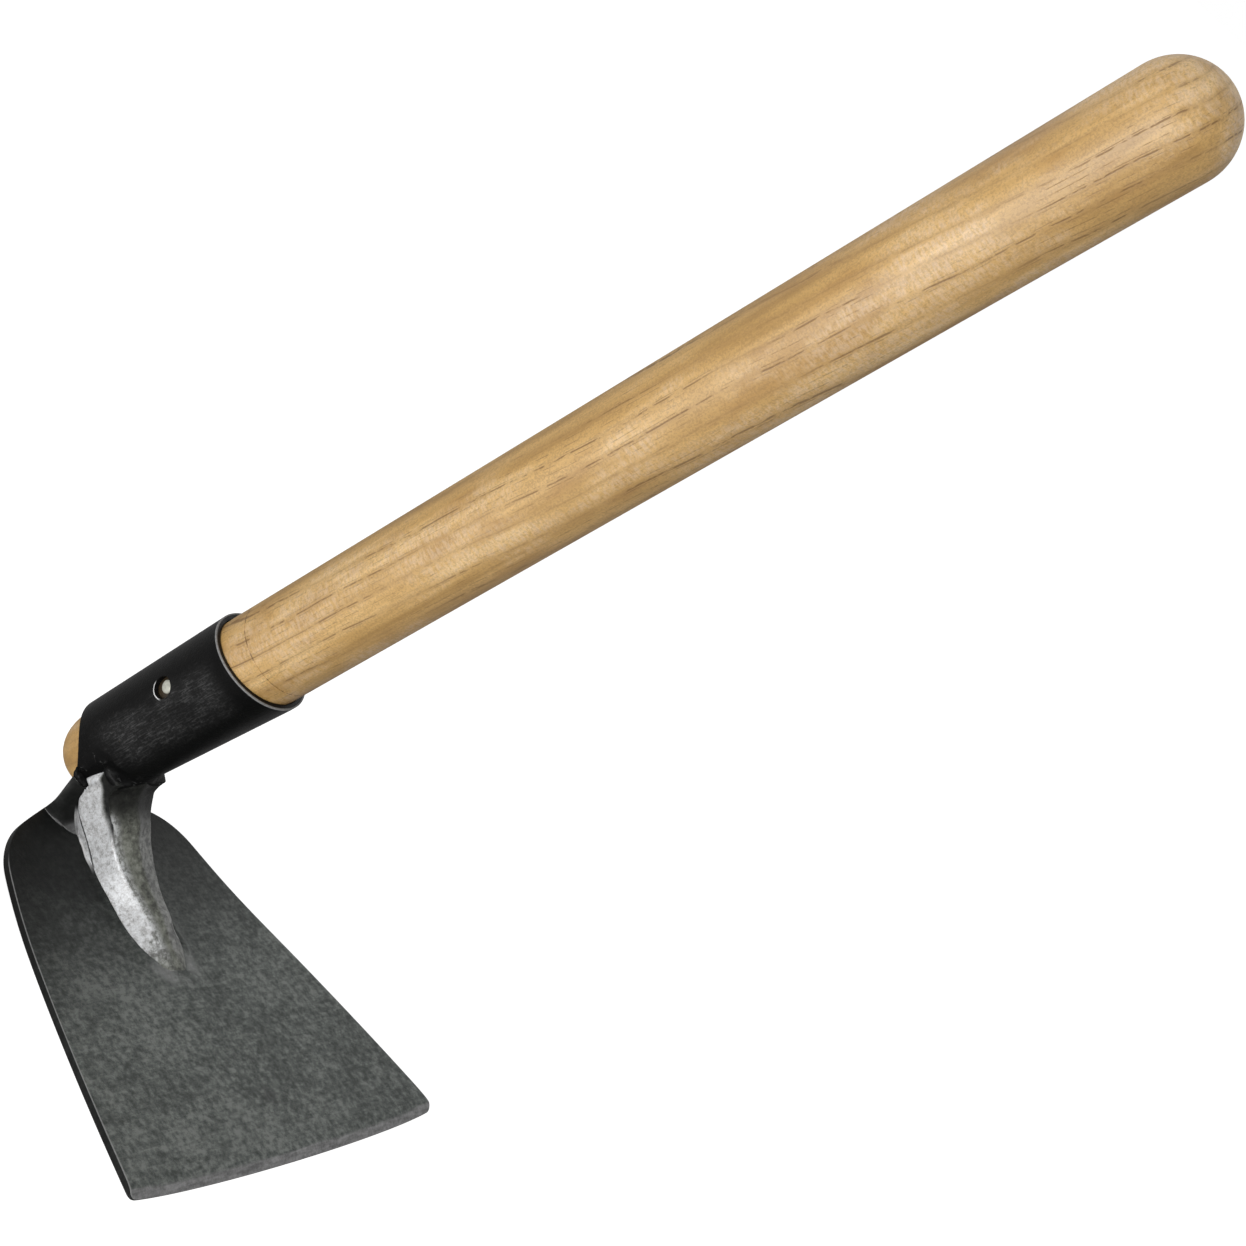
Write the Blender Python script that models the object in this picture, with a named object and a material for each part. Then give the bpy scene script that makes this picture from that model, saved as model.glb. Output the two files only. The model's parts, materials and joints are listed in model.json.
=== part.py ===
"""Hand hoe: a forged blade with a dished neck, a rolled socket, a tang in the inside
corner, two weld beads, a wooden handle driven through the socket, and its nail.

The tool is drawn about its handle. In tool coordinates +X runs along the handle from the
socket's mouth to the butt, +Y is the width, and +Z points away from the blade. A depth is
measured from the handle's axis towards the blade, so depth = -Z, and a station is a
position along the handle. An empty then lays the whole tool on the flat back of its blade,
with the blade's front facing up and the handle standing over it.
"""
import math

import bmesh
import bpy
from mathutils import Matrix, Vector

# Clearances
SEAM_GAP = 0.0003          # between pieces that touch
SEAT_GAP = 0.0003          # between the wood and the socket's bore

# Handle
GRIP_LENGTH = 0.338        # socket's mouth to the centre of the round butt
GRIP_MOUTH_RADIUS = 0.0165
GRIP_MIDDLE_RADIUS = 0.0170
BUTT_RADIUS = 0.0175
NOSE_LENGTH = 0.0198       # rounded end that stands out behind the socket
NOSE_FULLNESS = 2.5        # exponent of the nose's outline, 2 is an ellipse

# Socket
SOCKET_LENGTH = 0.0688     # mouth to the rear rim, along the top
SOCKET_MOUTH_RADIUS = 0.0186
SOCKET_REAR_RADIUS = 0.0164
SOCKET_WALL = 0.0018
SEAT_RISE = 0.0008         # how far the bore's centre climbs from the mouth to the rear
MOUTH_SLANT = math.radians(8.6)

# Blade, seen from the side
BLADE_SETBACK = 0.0947     # socket's mouth to the blade's face, along the handle's axis
UPPER_LEAN = math.radians(7.0)     # from square to the handle, above the bend
LOWER_LEAN = math.radians(18.8)    # from square to the handle, below the bend
BEND_START = 0.020         # along the blade's face from the handle's axis
BEND_LENGTH = 0.0455
BLADE_LENGTH = 0.1539      # handle's axis to the ends of the cutting edge
EDGE_BULGE = 0.0030        # how much further the middle of the cutting edge reaches
BLADE_THICKNESS = 0.0031
EDGE_THICKNESS = 0.0006
EDGE_GRIND = 0.0034        # width of the ground band along the cutting edge

# Blade, seen from the front
EDGE_HALF_WIDTH = 0.0758
SIDE_TOP_HALF_WIDTH = 0.0450
SIDE_BOW = 0.0019          # how far each side bows outwards
SHOULDER_SLOPE = math.radians(20.1)
SHOULDER_RADIUS = 0.028
EDGE_CORNER_RADIUS = 0.0022

# Neck, where the blade's sheet is dished and turned under the socket
NECK_HALF_WIDTH = 0.0172   # where the neck meets the blade's shoulders
NECK_TOP = 0.0112          # depth of the shoulders' inner ends
NECK_FILLET = 0.012        # radius of the neck's bend, on its outside
DISH_RUN = 0.075           # distance below the shoulders over which the dish fades
SWEEP_DEPTH = -0.0105      # depth at which the rear rim starts to sweep backwards
JOINT_DEPTH = 0.0042       # depth at which the sweep meets the butt joint
JOINT_WIDTH = 0.0025       # gap between socket and neck that the bead fills
BEAD_CROWN = 0.0005        # how far the bead stands proud of the metal beside it

# Tang, the bar in the corner between socket and blade
TANG_LIP_ANGLE = math.radians(20.0)    # top of the tang, below the socket's side
TANG_LIP = 0.0010          # how far its top stands out from the socket
TANG_LIP_FRONT = 0.0600    # mouth to the front of its top
TANG_LIP_REAR = 0.0745     # mouth to the rear of its top
TANG_WAIST_HALF_WIDTH = 0.0094
THROAT_RUN = 0.0117        # hollow between socket and ridge, along the handle
THROAT_DROP = 0.0110       # and downwards
EAVES_SETBACK = 0.0033     # from the ridge back to the two edges beside it
TANG_FOOT_REAR = 0.0035    # from the blade's face to the flanks' rear edges

# Tang down the blade: distance from the handle's axis, half width of its foot, half
# width and height of the two edges beside its ridge, and height of the ridge
TANG_SECTIONS = (
    (0.0350, 0.0088, 0.0092, 0.0128, 0.0151),
    (0.0420, 0.0101, 0.0082, 0.0105, 0.0118),
    (0.0490, 0.0108, 0.0070, 0.0088, 0.0093),
    (0.0560, 0.0117, 0.0058, 0.0077, 0.0081),
    (0.0630, 0.0122, 0.0051, 0.0065, 0.0068),
    (0.0700, 0.0117, 0.0044, 0.0038, 0.0042),
    (0.0770, 0.0098, 0.0030, 0.0018, 0.0020),
)
TANG_TIP = 0.0840          # where the tang runs out on the blade
TANG_TIP_HALF_WIDTH = 0.0060

LIP_CORNER = 0.0048        # how far back its front corners are rounded
LIP_SQUARENESS = 3.0       # exponent of that rounding, 2 is an ellipse
SADDLE_BEAD_RADIUS = 0.0014        # bead along its top, as proud of the socket as it is

# Nail
NAIL_STATION = 0.028       # behind the mouth
NAIL_ANGLE = math.radians(11.5)    # above the socket's side
NAIL_OFFSET = 0.0010       # nail's axis from the hole's, towards the mouth
NAIL_HEAD_RADIUS = 0.0023
NAIL_HEAD_HEIGHT = 0.0011
NAIL_SHANK_RADIUS = 0.0012
NAIL_POINT = 0.004
NAIL_LENGTH = 0.024
NAIL_HOLE_RADIUS = 0.0038  # mouth of the hole in the socket
NAIL_HOLE_FLARE = 0.0004   # how much narrower the hole is at the wood

# Mesh fineness, and how far a cutter runs past what it cuts
ROUND_STEPS = 40
DISH_STEPS = 20
NECK_STEPS = 8
TANG_STEPS = 3
OVERCUT = 0.003


def clear_scene():
    for item in list(bpy.data.objects):
        bpy.data.objects.remove(item, do_unlink=True)


def material(name, colour, roughness, metallic):
    result = bpy.data.materials.new(name)
    result.use_nodes = True
    shader = result.node_tree.nodes["Principled BSDF"]
    shader.inputs["Base Color"].default_value = (*colour, 1.0)
    shader.inputs["Roughness"].default_value = roughness
    shader.inputs["Metallic"].default_value = metallic
    return result


def solid(name, skin, finish, parent, sharp_angle=math.radians(35)):
    """One named object from a skin of (points, faces), with its faces turned outwards."""
    points, faces = skin
    mesh = bpy.data.meshes.new(name)
    mesh.from_pydata([tuple(point) for point in points], [], faces)
    work = bmesh.new()
    work.from_mesh(mesh)
    bmesh.ops.remove_doubles(work, verts=work.verts, dist=0.000001)
    bmesh.ops.triangulate(work, faces=work.faces)
    bmesh.ops.recalc_face_normals(work, faces=work.faces)
    work.to_mesh(mesh)
    work.free()
    mesh.shade_smooth()
    mesh.set_sharp_from_angle(angle=sharp_angle)
    if finish:
        mesh.materials.append(finish)
    result = bpy.data.objects.new(name, mesh)
    bpy.context.scene.collection.objects.link(result)
    result.parent = parent
    return result


def cutter(name, skin, parent):
    """A guide that only cuts others."""
    result = solid(name, skin, None, parent)
    result.hide_render = True
    result.display_type = "WIRE"
    return result


def cut(target, tool):
    step = target.modifiers.new("cut_" + tool.name, "BOOLEAN")
    step.operation = "DIFFERENCE"
    step.solver = "EXACT"
    step.object = tool


def loft(rings, cap_ends=True):
    """Points and faces of a skin through rings that have equal numbers of points."""
    count = len(rings[0])
    points = [point for ring_points in rings for point in ring_points]
    faces = []
    for row in range(len(rings) - 1):
        for column in range(count):
            after = (column + 1) % count
            low, high = row * count, (row + 1) * count
            faces.append((low + column, low + after, high + after, high + column))
    if cap_ends:
        faces.append(tuple(range(count)))
        faces.append(tuple(range(len(points) - count, len(points))))
    return points, faces


def ring(station, radius, height=0.0, slant=0.0):
    """A circle round the handle, on a plane that may lean from square to it."""
    result = []
    for step in range(ROUND_STEPS):
        angle = math.tau * step / ROUND_STEPS
        across, rise = radius * math.cos(angle), radius * math.sin(angle)
        result.append(Vector((station - rise * math.tan(slant), across, height + rise)))
    return result


# The socket's bore: the seat that the wood, the neck and the beads share

def seat_height(station):
    """Height of the bore's centre, which climbs behind the mouth."""
    return SEAT_RISE * max(-station, 0.0) / SOCKET_LENGTH


def socket_radius(station):
    taper = (SOCKET_MOUTH_RADIUS - SOCKET_REAR_RADIUS) / SOCKET_LENGTH
    return SOCKET_MOUTH_RADIUS + taper * min(station, 0.0)


def bore_radius(station):
    return socket_radius(station) - SOCKET_WALL


def on_seat(station, angle, radius):
    """A point round the bore's centre, at an angle below its +Y side."""
    height = seat_height(station) - radius * math.sin(angle)
    return Vector((station, radius * math.cos(angle), height))


# The blade's face, seen from the side: a run, a bend and a run from the handle's axis

BEND_END = BEND_START + BEND_LENGTH
BEND_RADIUS = BEND_LENGTH / (LOWER_LEAN - UPPER_LEAN)


def face_point(distance):
    """Middle of the blade's front face at a distance down it, and its outward normal."""
    x, depth, lean = -BLADE_SETBACK, 0.0, UPPER_LEAN
    upper = min(distance, BEND_START)
    x += upper * math.sin(UPPER_LEAN)
    depth += upper * math.cos(UPPER_LEAN)
    if distance > BEND_START:
        lean = UPPER_LEAN + (min(distance, BEND_END) - BEND_START) / BEND_RADIUS
        x += BEND_RADIUS * (math.cos(UPPER_LEAN) - math.cos(lean))
        depth += BEND_RADIUS * (math.sin(lean) - math.sin(UPPER_LEAN))
    if distance > BEND_END:
        x += (distance - BEND_END) * math.sin(LOWER_LEAN)
        depth += (distance - BEND_END) * math.cos(LOWER_LEAN)
    return Vector((x, 0.0, -depth)), Vector((math.cos(lean), 0.0, math.sin(lean)))


def on_face(distance, across, height=0.0):
    """A point at a distance down the blade, across it, and above its front face."""
    point, normal = face_point(distance)
    return point + normal * height + Vector((0.0, across, 0.0))


# The rear rim sweeps back in a quarter ellipse, from the socket's top to the shoulders

SHOULDER_STATION = face_point(NECK_TOP)[0].x
SWEEP_LENGTH = -SOCKET_LENGTH - SHOULDER_STATION
SWEEP_HEIGHT = NECK_TOP - SWEEP_DEPTH


def sweep_station(depth):
    share = min(max((depth - SWEEP_DEPTH) / SWEEP_HEIGHT, 0.0), 1.0)
    return SHOULDER_STATION + SWEEP_LENGTH * math.sqrt(1.0 - share * share)


def sweep_depth(station):
    share = min(max((station - SHOULDER_STATION) / SWEEP_LENGTH, 0.0), 1.0)
    return SWEEP_DEPTH + SWEEP_HEIGHT * math.sqrt(1.0 - share * share)


# The butt joint, where a bead joins the neck to the socket

JOINT_STATION = sweep_station(JOINT_DEPTH)
NECK_STATION = JOINT_STATION - JOINT_WIDTH
NECK_OUTER_RADIUS = bore_radius(NECK_STATION) + BLADE_THICKNESS
JOINT_ANGLE = math.asin((JOINT_DEPTH + seat_height(JOINT_STATION)) / socket_radius(JOINT_STATION))
RIM_ANGLE = math.asin((sweep_depth(NECK_STATION) + seat_height(NECK_STATION)) / NECK_OUTER_RADIUS)
NECK_ARC = math.radians(90) - RIM_ANGLE


def neck_bottom(share):
    """The neck's lowest line, from the butt joint round its bend to the blade's face."""
    start = on_seat(NECK_STATION, math.radians(90), NECK_OUTER_RADIUS)
    turn = math.radians(90) - UPPER_LEAN
    face_x = -BLADE_SETBACK - start.z * math.tan(UPPER_LEAN)
    flat = start.x - face_x - NECK_FILLET * math.tan(turn / 2)
    travelled = share * (flat + NECK_FILLET * turn)
    if travelled <= flat:
        return start - Vector((travelled, 0.0, 0.0))
    angle = (travelled - flat) / NECK_FILLET
    along = flat + NECK_FILLET * math.sin(angle)
    return start - Vector((along, 0.0, NECK_FILLET * (1.0 - math.cos(angle))))


def neck_rim(share):
    """The neck's upper edge on the +Y side, from the butt joint to the shoulder."""
    first = math.acos((NECK_STATION - SHOULDER_STATION) / SWEEP_LENGTH)
    angle = first + (math.radians(90) - first) * share
    depth = SWEEP_DEPTH + SWEEP_HEIGHT * math.sin(angle)
    first_width = NECK_OUTER_RADIUS * math.cos(RIM_ANGLE)
    width = first_width + (NECK_HALF_WIDTH - first_width) * share
    return Vector((SHOULDER_STATION + SWEEP_LENGTH * math.cos(angle), width, -depth))


def dished_row(bottom, rim):
    """Points from the left rim through the bottom to the right rim, on a round curve."""
    row = []
    for step in range(-DISH_STEPS // 2, DISH_STEPS // 2 + 1):
        angle = NECK_ARC * 2.0 * step / DISH_STEPS
        across = math.sin(angle) / math.sin(NECK_ARC)
        rise = (1.0 - math.cos(angle)) / (1.0 - math.cos(NECK_ARC))
        point = bottom.lerp(Vector((rim.x, 0.0, rim.z)), rise)
        row.append(Vector((point.x, rim.y * across, point.z)))
    return row


# The blade's outline, seen from the front

def corner_arc():
    """The shoulder's arc in (across, down): its centre and its first and last angles."""
    flare = EDGE_HALF_WIDTH - SIDE_TOP_HALF_WIDTH + 4.0 * SIDE_BOW
    side_slope = flare / (BLADE_LENGTH - NECK_TOP)
    first = SHOULDER_SLOPE
    last = math.radians(90) - math.atan(side_slope)
    across = SIDE_TOP_HALF_WIDTH - SHOULDER_RADIUS * math.sin(last)
    run = across + SHOULDER_RADIUS * math.sin(first) - NECK_HALF_WIDTH
    down = NECK_TOP + run * math.tan(first) + SHOULDER_RADIUS * math.cos(first)
    return across, down, first, last


def side_top():
    """Distance down the blade at which its shoulder's arc runs into its side."""
    _, down, _, last = corner_arc()
    return down - SHOULDER_RADIUS * math.cos(last)


def side_half_width(distance):
    share = (distance - side_top()) / (BLADE_LENGTH - side_top())
    straight = SIDE_TOP_HALF_WIDTH + (EDGE_HALF_WIDTH - SIDE_TOP_HALF_WIDTH) * share
    return straight + 4.0 * SIDE_BOW * share * (1.0 - share)


def edge_half_width():
    """Half the length of the cutting edge between its rounded corners."""
    return side_half_width(BLADE_LENGTH - EDGE_CORNER_RADIUS) - EDGE_CORNER_RADIUS


def blade_outline():
    """(distance down the blade, half width) from the neck to the cutting edge's end."""
    across, down, first, last = corner_arc()
    line_steps, arc_steps, side_steps, corner_steps = 3, 6, 9, 4
    line_end = (down - SHOULDER_RADIUS * math.cos(first), across + SHOULDER_RADIUS * math.sin(first))
    result = []
    for step in range(line_steps):
        share = step / line_steps
        result.append((NECK_TOP + (line_end[0] - NECK_TOP) * share,
                       NECK_HALF_WIDTH + (line_end[1] - NECK_HALF_WIDTH) * share))
    for step in range(arc_steps):
        angle = first + (last - first) * step / arc_steps
        result.append((down - SHOULDER_RADIUS * math.cos(angle),
                       across + SHOULDER_RADIUS * math.sin(angle)))
    bottom = BLADE_LENGTH - EDGE_CORNER_RADIUS
    side_end = min(bottom, BLADE_LENGTH - EDGE_GRIND)
    for step in range(side_steps):
        distance = side_top() + (side_end - side_top()) * step / side_steps
        result.append((distance, side_half_width(distance)))
    if side_end < bottom:
        result.append((side_end, side_half_width(side_end)))
    for step in range(corner_steps + 1):
        angle = math.radians(90) * step / corner_steps
        result.append((bottom + EDGE_CORNER_RADIUS * math.sin(angle),
                       edge_half_width() + EDGE_CORNER_RADIUS * math.cos(angle)))
    return result


def dish_drop(distance):
    """How much lower than its ends a row crosses the blade's middle, because of the dish."""
    bend_end = -neck_bottom(1.0).z / math.cos(UPPER_LEAN)
    fade = max(1.0 - (distance - NECK_TOP) / DISH_RUN, 0.0)
    return (bend_end - NECK_TOP) * fade ** 2


def edge_drop(distance):
    """How much lower a row crosses the middle because the cutting edge bulges."""
    side_run = BLADE_LENGTH - EDGE_CORNER_RADIUS - side_top()
    return EDGE_BULGE * min(max((distance - side_top()) / side_run, 0.0), 1.0)


def edge_reach(across):
    """Distance down the blade of the cutting edge's line, at a place across it."""
    return BLADE_LENGTH + EDGE_BULGE * (1.0 - min(abs(across) / edge_half_width(), 1.0) ** 2)


def neck_rows():
    """Rows of the neck's outside, from the butt joint to just above the shoulders."""
    shares = [step / NECK_STEPS for step in range(NECK_STEPS)]
    return [dished_row(neck_bottom(share), neck_rim(share)) for share in shares]


def face_row(distance, half_width, drop):
    """A row down the blade, in (distance, across, 0), that hangs by a drop at its middle."""
    return dished_row(Vector((distance + drop, 0.0, 0.0)), Vector((distance, half_width, 0.0)))


def blade_rows():
    """Rows of the front face, and how far each of their points lies from the edge."""
    rows = neck_rows()
    reaches = [[BLADE_LENGTH] * len(row) for row in rows]
    for distance, half_width in blade_outline():
        flat = face_row(distance, half_width, dish_drop(distance) + edge_drop(distance))
        rows.append([on_face(point.x, point.y) for point in flat])
        reaches.append([max(edge_reach(point.y) - point.x, 0.0) for point in flat])
    return rows, reaches


def row_normals(rows):
    """Outward normals of the front face, from each point's neighbours."""
    result = []
    last_row, last_column = len(rows) - 1, len(rows[0]) - 1
    for row in range(last_row + 1):
        line = []
        for column in range(last_column + 1):
            down = rows[min(row + 1, last_row)][column] - rows[max(row - 1, 0)][column]
            across = rows[row][min(column + 1, last_column)] - rows[row][max(column - 1, 0)]
            line.append(down.cross(across).normalized())
        result.append(line)
    return result


def bead_row():
    """A row ahead of the neck, as far round as the butt bead reaches."""
    step_angle = (math.pi - 2.0 * JOINT_ANGLE) / DISH_STEPS
    return [on_seat(JOINT_STATION, math.pi - JOINT_ANGLE - step_angle * step, NECK_OUTER_RADIUS)
            for step in range(DISH_STEPS + 1)]


def closed_sheet(front, back):
    """A closed skin between two grids of points that match row by row."""
    height, width = len(front), len(front[0])
    points = [point for row in front + back for point in row]
    count = height * width
    faces = []
    for row in range(height - 1):
        for column in range(width - 1):
            corner = row * width + column
            quad = (corner, corner + 1, corner + width + 1, corner + width)
            faces.append(quad)
            faces.append(tuple(count + index for index in reversed(quad)))
    border = list(range(width))
    border += [row * width + width - 1 for row in range(1, height)]
    border += [(height - 1) * width + column for column in range(width - 2, -1, -1)]
    border += [row * width for row in range(height - 2, 0, -1)]
    for index, after in zip(border, border[1:] + border[:1]):
        faces.append((index, after, count + after, count + index))
    return points, faces


def sheet_skin():
    """The blade and its neck as one closed sheet, thinned to its ground cutting edge."""
    rows, reaches = blade_rows()
    front, back = [], []
    for line, reach_line, normal_line in zip(rows, reaches, row_normals(rows)):
        front_line, back_line = [], []
        for point, reach, normal in zip(line, reach_line, normal_line):
            share = min(reach / EDGE_GRIND, 1.0)
            ground = (BLADE_THICKNESS - EDGE_THICKNESS) * (1.0 - share)
            front_line.append(point - normal * ground)
            back_line.append(point - normal * BLADE_THICKNESS)
        front.append(front_line)
        back.append(back_line)
    return closed_sheet(front, back)


def sheet_clearance_skin():
    """The room that the tang leaves for the butt bead, the neck and the blade: their face
    down past the tang's tip, grown by the gap, and what lies above and behind it."""
    face_steps = 14
    reach = 4.0 * BLADE_THICKNESS
    rows = [bead_row()] + neck_rows()
    for step in range(face_steps + 1):
        distance = NECK_TOP + (TANG_TIP + reach - NECK_TOP) * step / face_steps
        flat = face_row(distance, NECK_HALF_WIDTH, dish_drop(distance))
        rows.append([on_face(point.x, point.y) for point in flat])
    front, back = [], []
    for index, (line, normal_line) in enumerate(zip(rows, row_normals(rows))):
        behind = Vector((-reach * min(index / NECK_STEPS, 1.0), 0.0, reach))
        front.append([point + normal * SEAM_GAP for point, normal in zip(line, normal_line)])
        back.append([point + behind for point in front[-1]])
    return closed_sheet(front, back)


def socket_skin():
    """The rolled tube: outer and inner walls between the slanted mouth and the rear rim."""
    def rear_point(radius_at, angle):
        station = JOINT_STATION
        for _ in range(12):
            depth = -on_seat(station, angle, radius_at(station)).z
            station = max(sweep_station(depth), JOINT_STATION)
        return on_seat(station, angle, radius_at(station))

    def walls(radius_at):
        mouth = ring(0.0, radius_at(0.0), 0.0, MOUTH_SLANT)
        turns = [-math.tau * step / ROUND_STEPS for step in range(ROUND_STEPS)]
        return mouth, [rear_point(radius_at, turn) for turn in turns]

    outer_mouth, outer_rear = walls(socket_radius)
    inner_mouth, inner_rear = walls(bore_radius)
    return loft([outer_mouth, outer_rear, inner_rear, inner_mouth, outer_mouth], cap_ends=False)


def seat_clearance_skin():
    """The socket's cone as a solid, grown and carried back to the blade, to cut the tang."""
    rings = []
    for station in (-BLADE_SETBACK - OVERCUT, 0.0):
        rings.append(ring(station, socket_radius(station) + SEAM_GAP, seat_height(station)))
    return loft(rings)


def neck_bead_skin():
    """Butt bead between the socket's rear rim and the neck's end, round the lower half."""
    front, rear = JOINT_STATION - SEAM_GAP, NECK_STATION + SEAM_GAP
    middle = (front + rear) / 2
    steps = 18
    crown = (socket_radius(front) + NECK_OUTER_RADIUS) / 2 + BEAD_CROWN
    profile = (
        (front, bore_radius(front), JOINT_ANGLE),
        (front, socket_radius(front), JOINT_ANGLE),
        (middle, crown, (JOINT_ANGLE + RIM_ANGLE) / 2),
        (rear, NECK_OUTER_RADIUS, RIM_ANGLE),
        (rear, NECK_OUTER_RADIUS - BLADE_THICKNESS, RIM_ANGLE),
    )
    rings = []
    for step in range(steps + 1):
        section = []
        for station, radius, first in profile:
            angle = first + (math.pi - 2.0 * first) * step / steps
            section.append(on_seat(station, angle, radius))
        rings.append(section)
    return loft(rings)


# The tang's upper part hangs from the socket's sides and hollows out to its waist

def lip_station(angle):
    """Where the tang's top edge lies on the socket, at an angle below the socket's side."""
    share = (math.radians(90) - angle) / (math.radians(90) - TANG_LIP_ANGLE)
    square = 1.0 - min(max(share, 0.0), 1.0) ** LIP_SQUARENESS
    return -TANG_LIP_FRONT - LIP_CORNER * (1.0 - square ** (1.0 / LIP_SQUARENESS))


def tang_upper_rings():
    """Level sections, from the top of the tang down to its waist."""
    radius = socket_radius(-TANG_LIP_FRONT)
    climb = seat_height(-TANG_LIP_FRONT)
    lip_point = on_seat(-TANG_LIP_FRONT, TANG_LIP_ANGLE, radius + TANG_LIP)
    lip_depth, lip_half_width = -lip_point.z, lip_point.y
    under_depth = radius - climb
    waist_depth = under_depth + THROAT_DROP
    foot_rear = face_point(waist_depth)[0].x + TANG_FOOT_REAR
    side_steps, throat_steps = 7, 8
    rings = []
    for step in range(side_steps + throat_steps + 1):
        if step < side_steps:
            depth = lip_depth + (under_depth - lip_depth) * (step / side_steps) ** 1.5
            ridge = eaves = lip_station(math.asin((depth + climb) / (radius + TANG_LIP)))
        else:
            turn = math.radians(90) * (step - side_steps) / throat_steps
            depth = waist_depth - THROAT_DROP * math.cos(turn)
            ridge = -TANG_LIP_FRONT - THROAT_RUN * math.sin(turn)
            eaves = ridge - EAVES_SETBACK * math.sin(turn)
        share = (depth - lip_depth) / (waist_depth - lip_depth)
        half_width = lip_half_width + (TANG_WAIST_HALF_WIDTH - lip_half_width) * math.sqrt(share)
        rear = -TANG_LIP_REAR + (foot_rear + TANG_LIP_REAR) * math.sin(math.radians(90) * share)
        inside = rear - 2.0 * BLADE_THICKNESS
        outline = ((inside, -half_width / 2), (rear, -half_width), (eaves, -half_width), (ridge, 0.0),
                   (eaves, half_width), (rear, half_width), (inside, half_width / 2))
        rings.append([Vector((x, y, -depth)) for x, y in outline])
    return rings


def smooth_rows(rows, steps):
    """The rows with more rows between them, on a smooth curve through all of them."""
    result = []
    for index in range(len(rows) - 1):
        before, after = rows[max(index - 1, 0)], rows[min(index + 2, len(rows) - 1)]
        for step in range(steps):
            share = step / steps
            row = []
            for a, b, c, d in zip(before, rows[index], rows[index + 1], after):
                bend = 2.0 * a - 5.0 * b + 4.0 * c - d + (3.0 * b - 3.0 * c + d - a) * share
                row.append(b + ((c - a) * share + bend * share * share) / 2.0)
            result.append(row)
    result.append(rows[-1])
    return result


def tang_lower_rings():
    """Sections across the blade, from the waist to the tip."""
    tip = (TANG_TIP, TANG_TIP_HALF_WIDTH, TANG_TIP_HALF_WIDTH / 2, 0.0, 0.0)
    rings = []
    for distance, foot, eaves, eaves_height, ridge_height in smooth_rows(TANG_SECTIONS + (tip,), TANG_STEPS):
        outline = ((-foot / 2, -BLADE_THICKNESS), (-foot, 0.0), (-eaves, eaves_height),
                   (0.0, ridge_height),
                   (eaves, eaves_height), (foot, 0.0), (foot / 2, -BLADE_THICKNESS))
        rings.append([on_face(distance, y, height) for y, height in outline])
    return rings


def saddle_path():
    """The tang's top edge on the socket, from one rear end under the socket to the other."""
    corner = lip_station(TANG_LIP_ANGLE)
    rear_end = -TANG_LIP_REAR + SADDLE_BEAD_RADIUS
    side_steps, turn_steps = 3, 9
    half = [(rear_end + (corner - rear_end) * step / side_steps, TANG_LIP_ANGLE)
            for step in range(side_steps)]
    for step in range(turn_steps + 1):
        angle = TANG_LIP_ANGLE + (math.radians(90) - TANG_LIP_ANGLE) * (step / turn_steps) ** 1.5
        half.append((lip_station(angle), angle))
    other = [(station, math.pi - angle) for station, angle in reversed(half[:-1])]
    return half + other


def saddle_bead_skin(grow=0.0):
    """A round bead that follows the saddle path on the socket's surface."""
    path = [on_seat(station, angle, socket_radius(station) + TANG_LIP - SADDLE_BEAD_RADIUS)
            for station, angle in saddle_path()]
    radius, sides = SADDLE_BEAD_RADIUS + grow, 12
    rings = []
    for index, point in enumerate(path):
        ahead = path[min(index + 1, len(path) - 1)]
        behind = path[max(index - 1, 0)]
        along = (ahead - behind).normalized()
        outward = Vector((0.0, point.y, point.z - seat_height(point.x))).normalized()
        sideways = along.cross(outward).normalized()
        outward = sideways.cross(along)
        rings.append([point + radius * (math.cos(math.tau * step / sides) * outward
                                        + math.sin(math.tau * step / sides) * sideways)
                      for step in range(sides)])
    return loft(rings)


def grip_radius(share):
    """Radius along the grip: a parabola through the mouth, the middle and the butt."""
    ends = GRIP_MOUTH_RADIUS + (BUTT_RADIUS - GRIP_MOUTH_RADIUS) * share
    waist = GRIP_MIDDLE_RADIUS - (GRIP_MOUTH_RADIUS + BUTT_RADIUS) / 2
    return ends + 4.0 * waist * share * (1.0 - share)


def wood_radius(station):
    """The wood's radius in the socket: it fills the bore but for the fit."""
    return bore_radius(station) - SEAT_GAP


def handle_skin():
    """The turned handle: round butt, grip, tapered seat and the nose behind the socket."""
    butt_steps, grip_steps, nose_steps = 8, 8, 7
    rings = []
    for step in range(1, butt_steps + 1):
        angle = math.radians(90) * step / butt_steps
        rings.append(ring(GRIP_LENGTH + BUTT_RADIUS * math.cos(angle), BUTT_RADIUS * math.sin(angle)))
    for step in range(1, grip_steps):
        share = 1.0 - step / grip_steps
        rings.append(ring(GRIP_LENGTH * share, grip_radius(share)))
    nose_start = -SOCKET_LENGTH
    for station in (0.0, nose_start / 2, nose_start):
        rings.append(ring(station, wood_radius(station), seat_height(station)))
    for step in range(1, nose_steps):
        share = math.sin(math.radians(90) * step / nose_steps)
        shrink = (1.0 - share ** NOSE_FULLNESS) ** (1.0 / NOSE_FULLNESS)
        rings.append(ring(nose_start - NOSE_LENGTH * share, wood_radius(nose_start) * shrink,
                          seat_height(nose_start)))
    points, faces = loft(rings, cap_ends=False)
    butt, last = len(points), len(points) - ROUND_STEPS
    points.append(Vector((GRIP_LENGTH + BUTT_RADIUS, 0.0, 0.0)))
    points.append(Vector((nose_start - NOSE_LENGTH, 0.0, seat_height(nose_start))))
    for step in range(ROUND_STEPS):
        after = (step + 1) % ROUND_STEPS
        faces.append((butt, after, step))
        faces.append((butt + 1, last + step, last + after))
    return points, faces


# The nail and its holes stand on a line out of the bore's centre, on the -Y side

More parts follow.
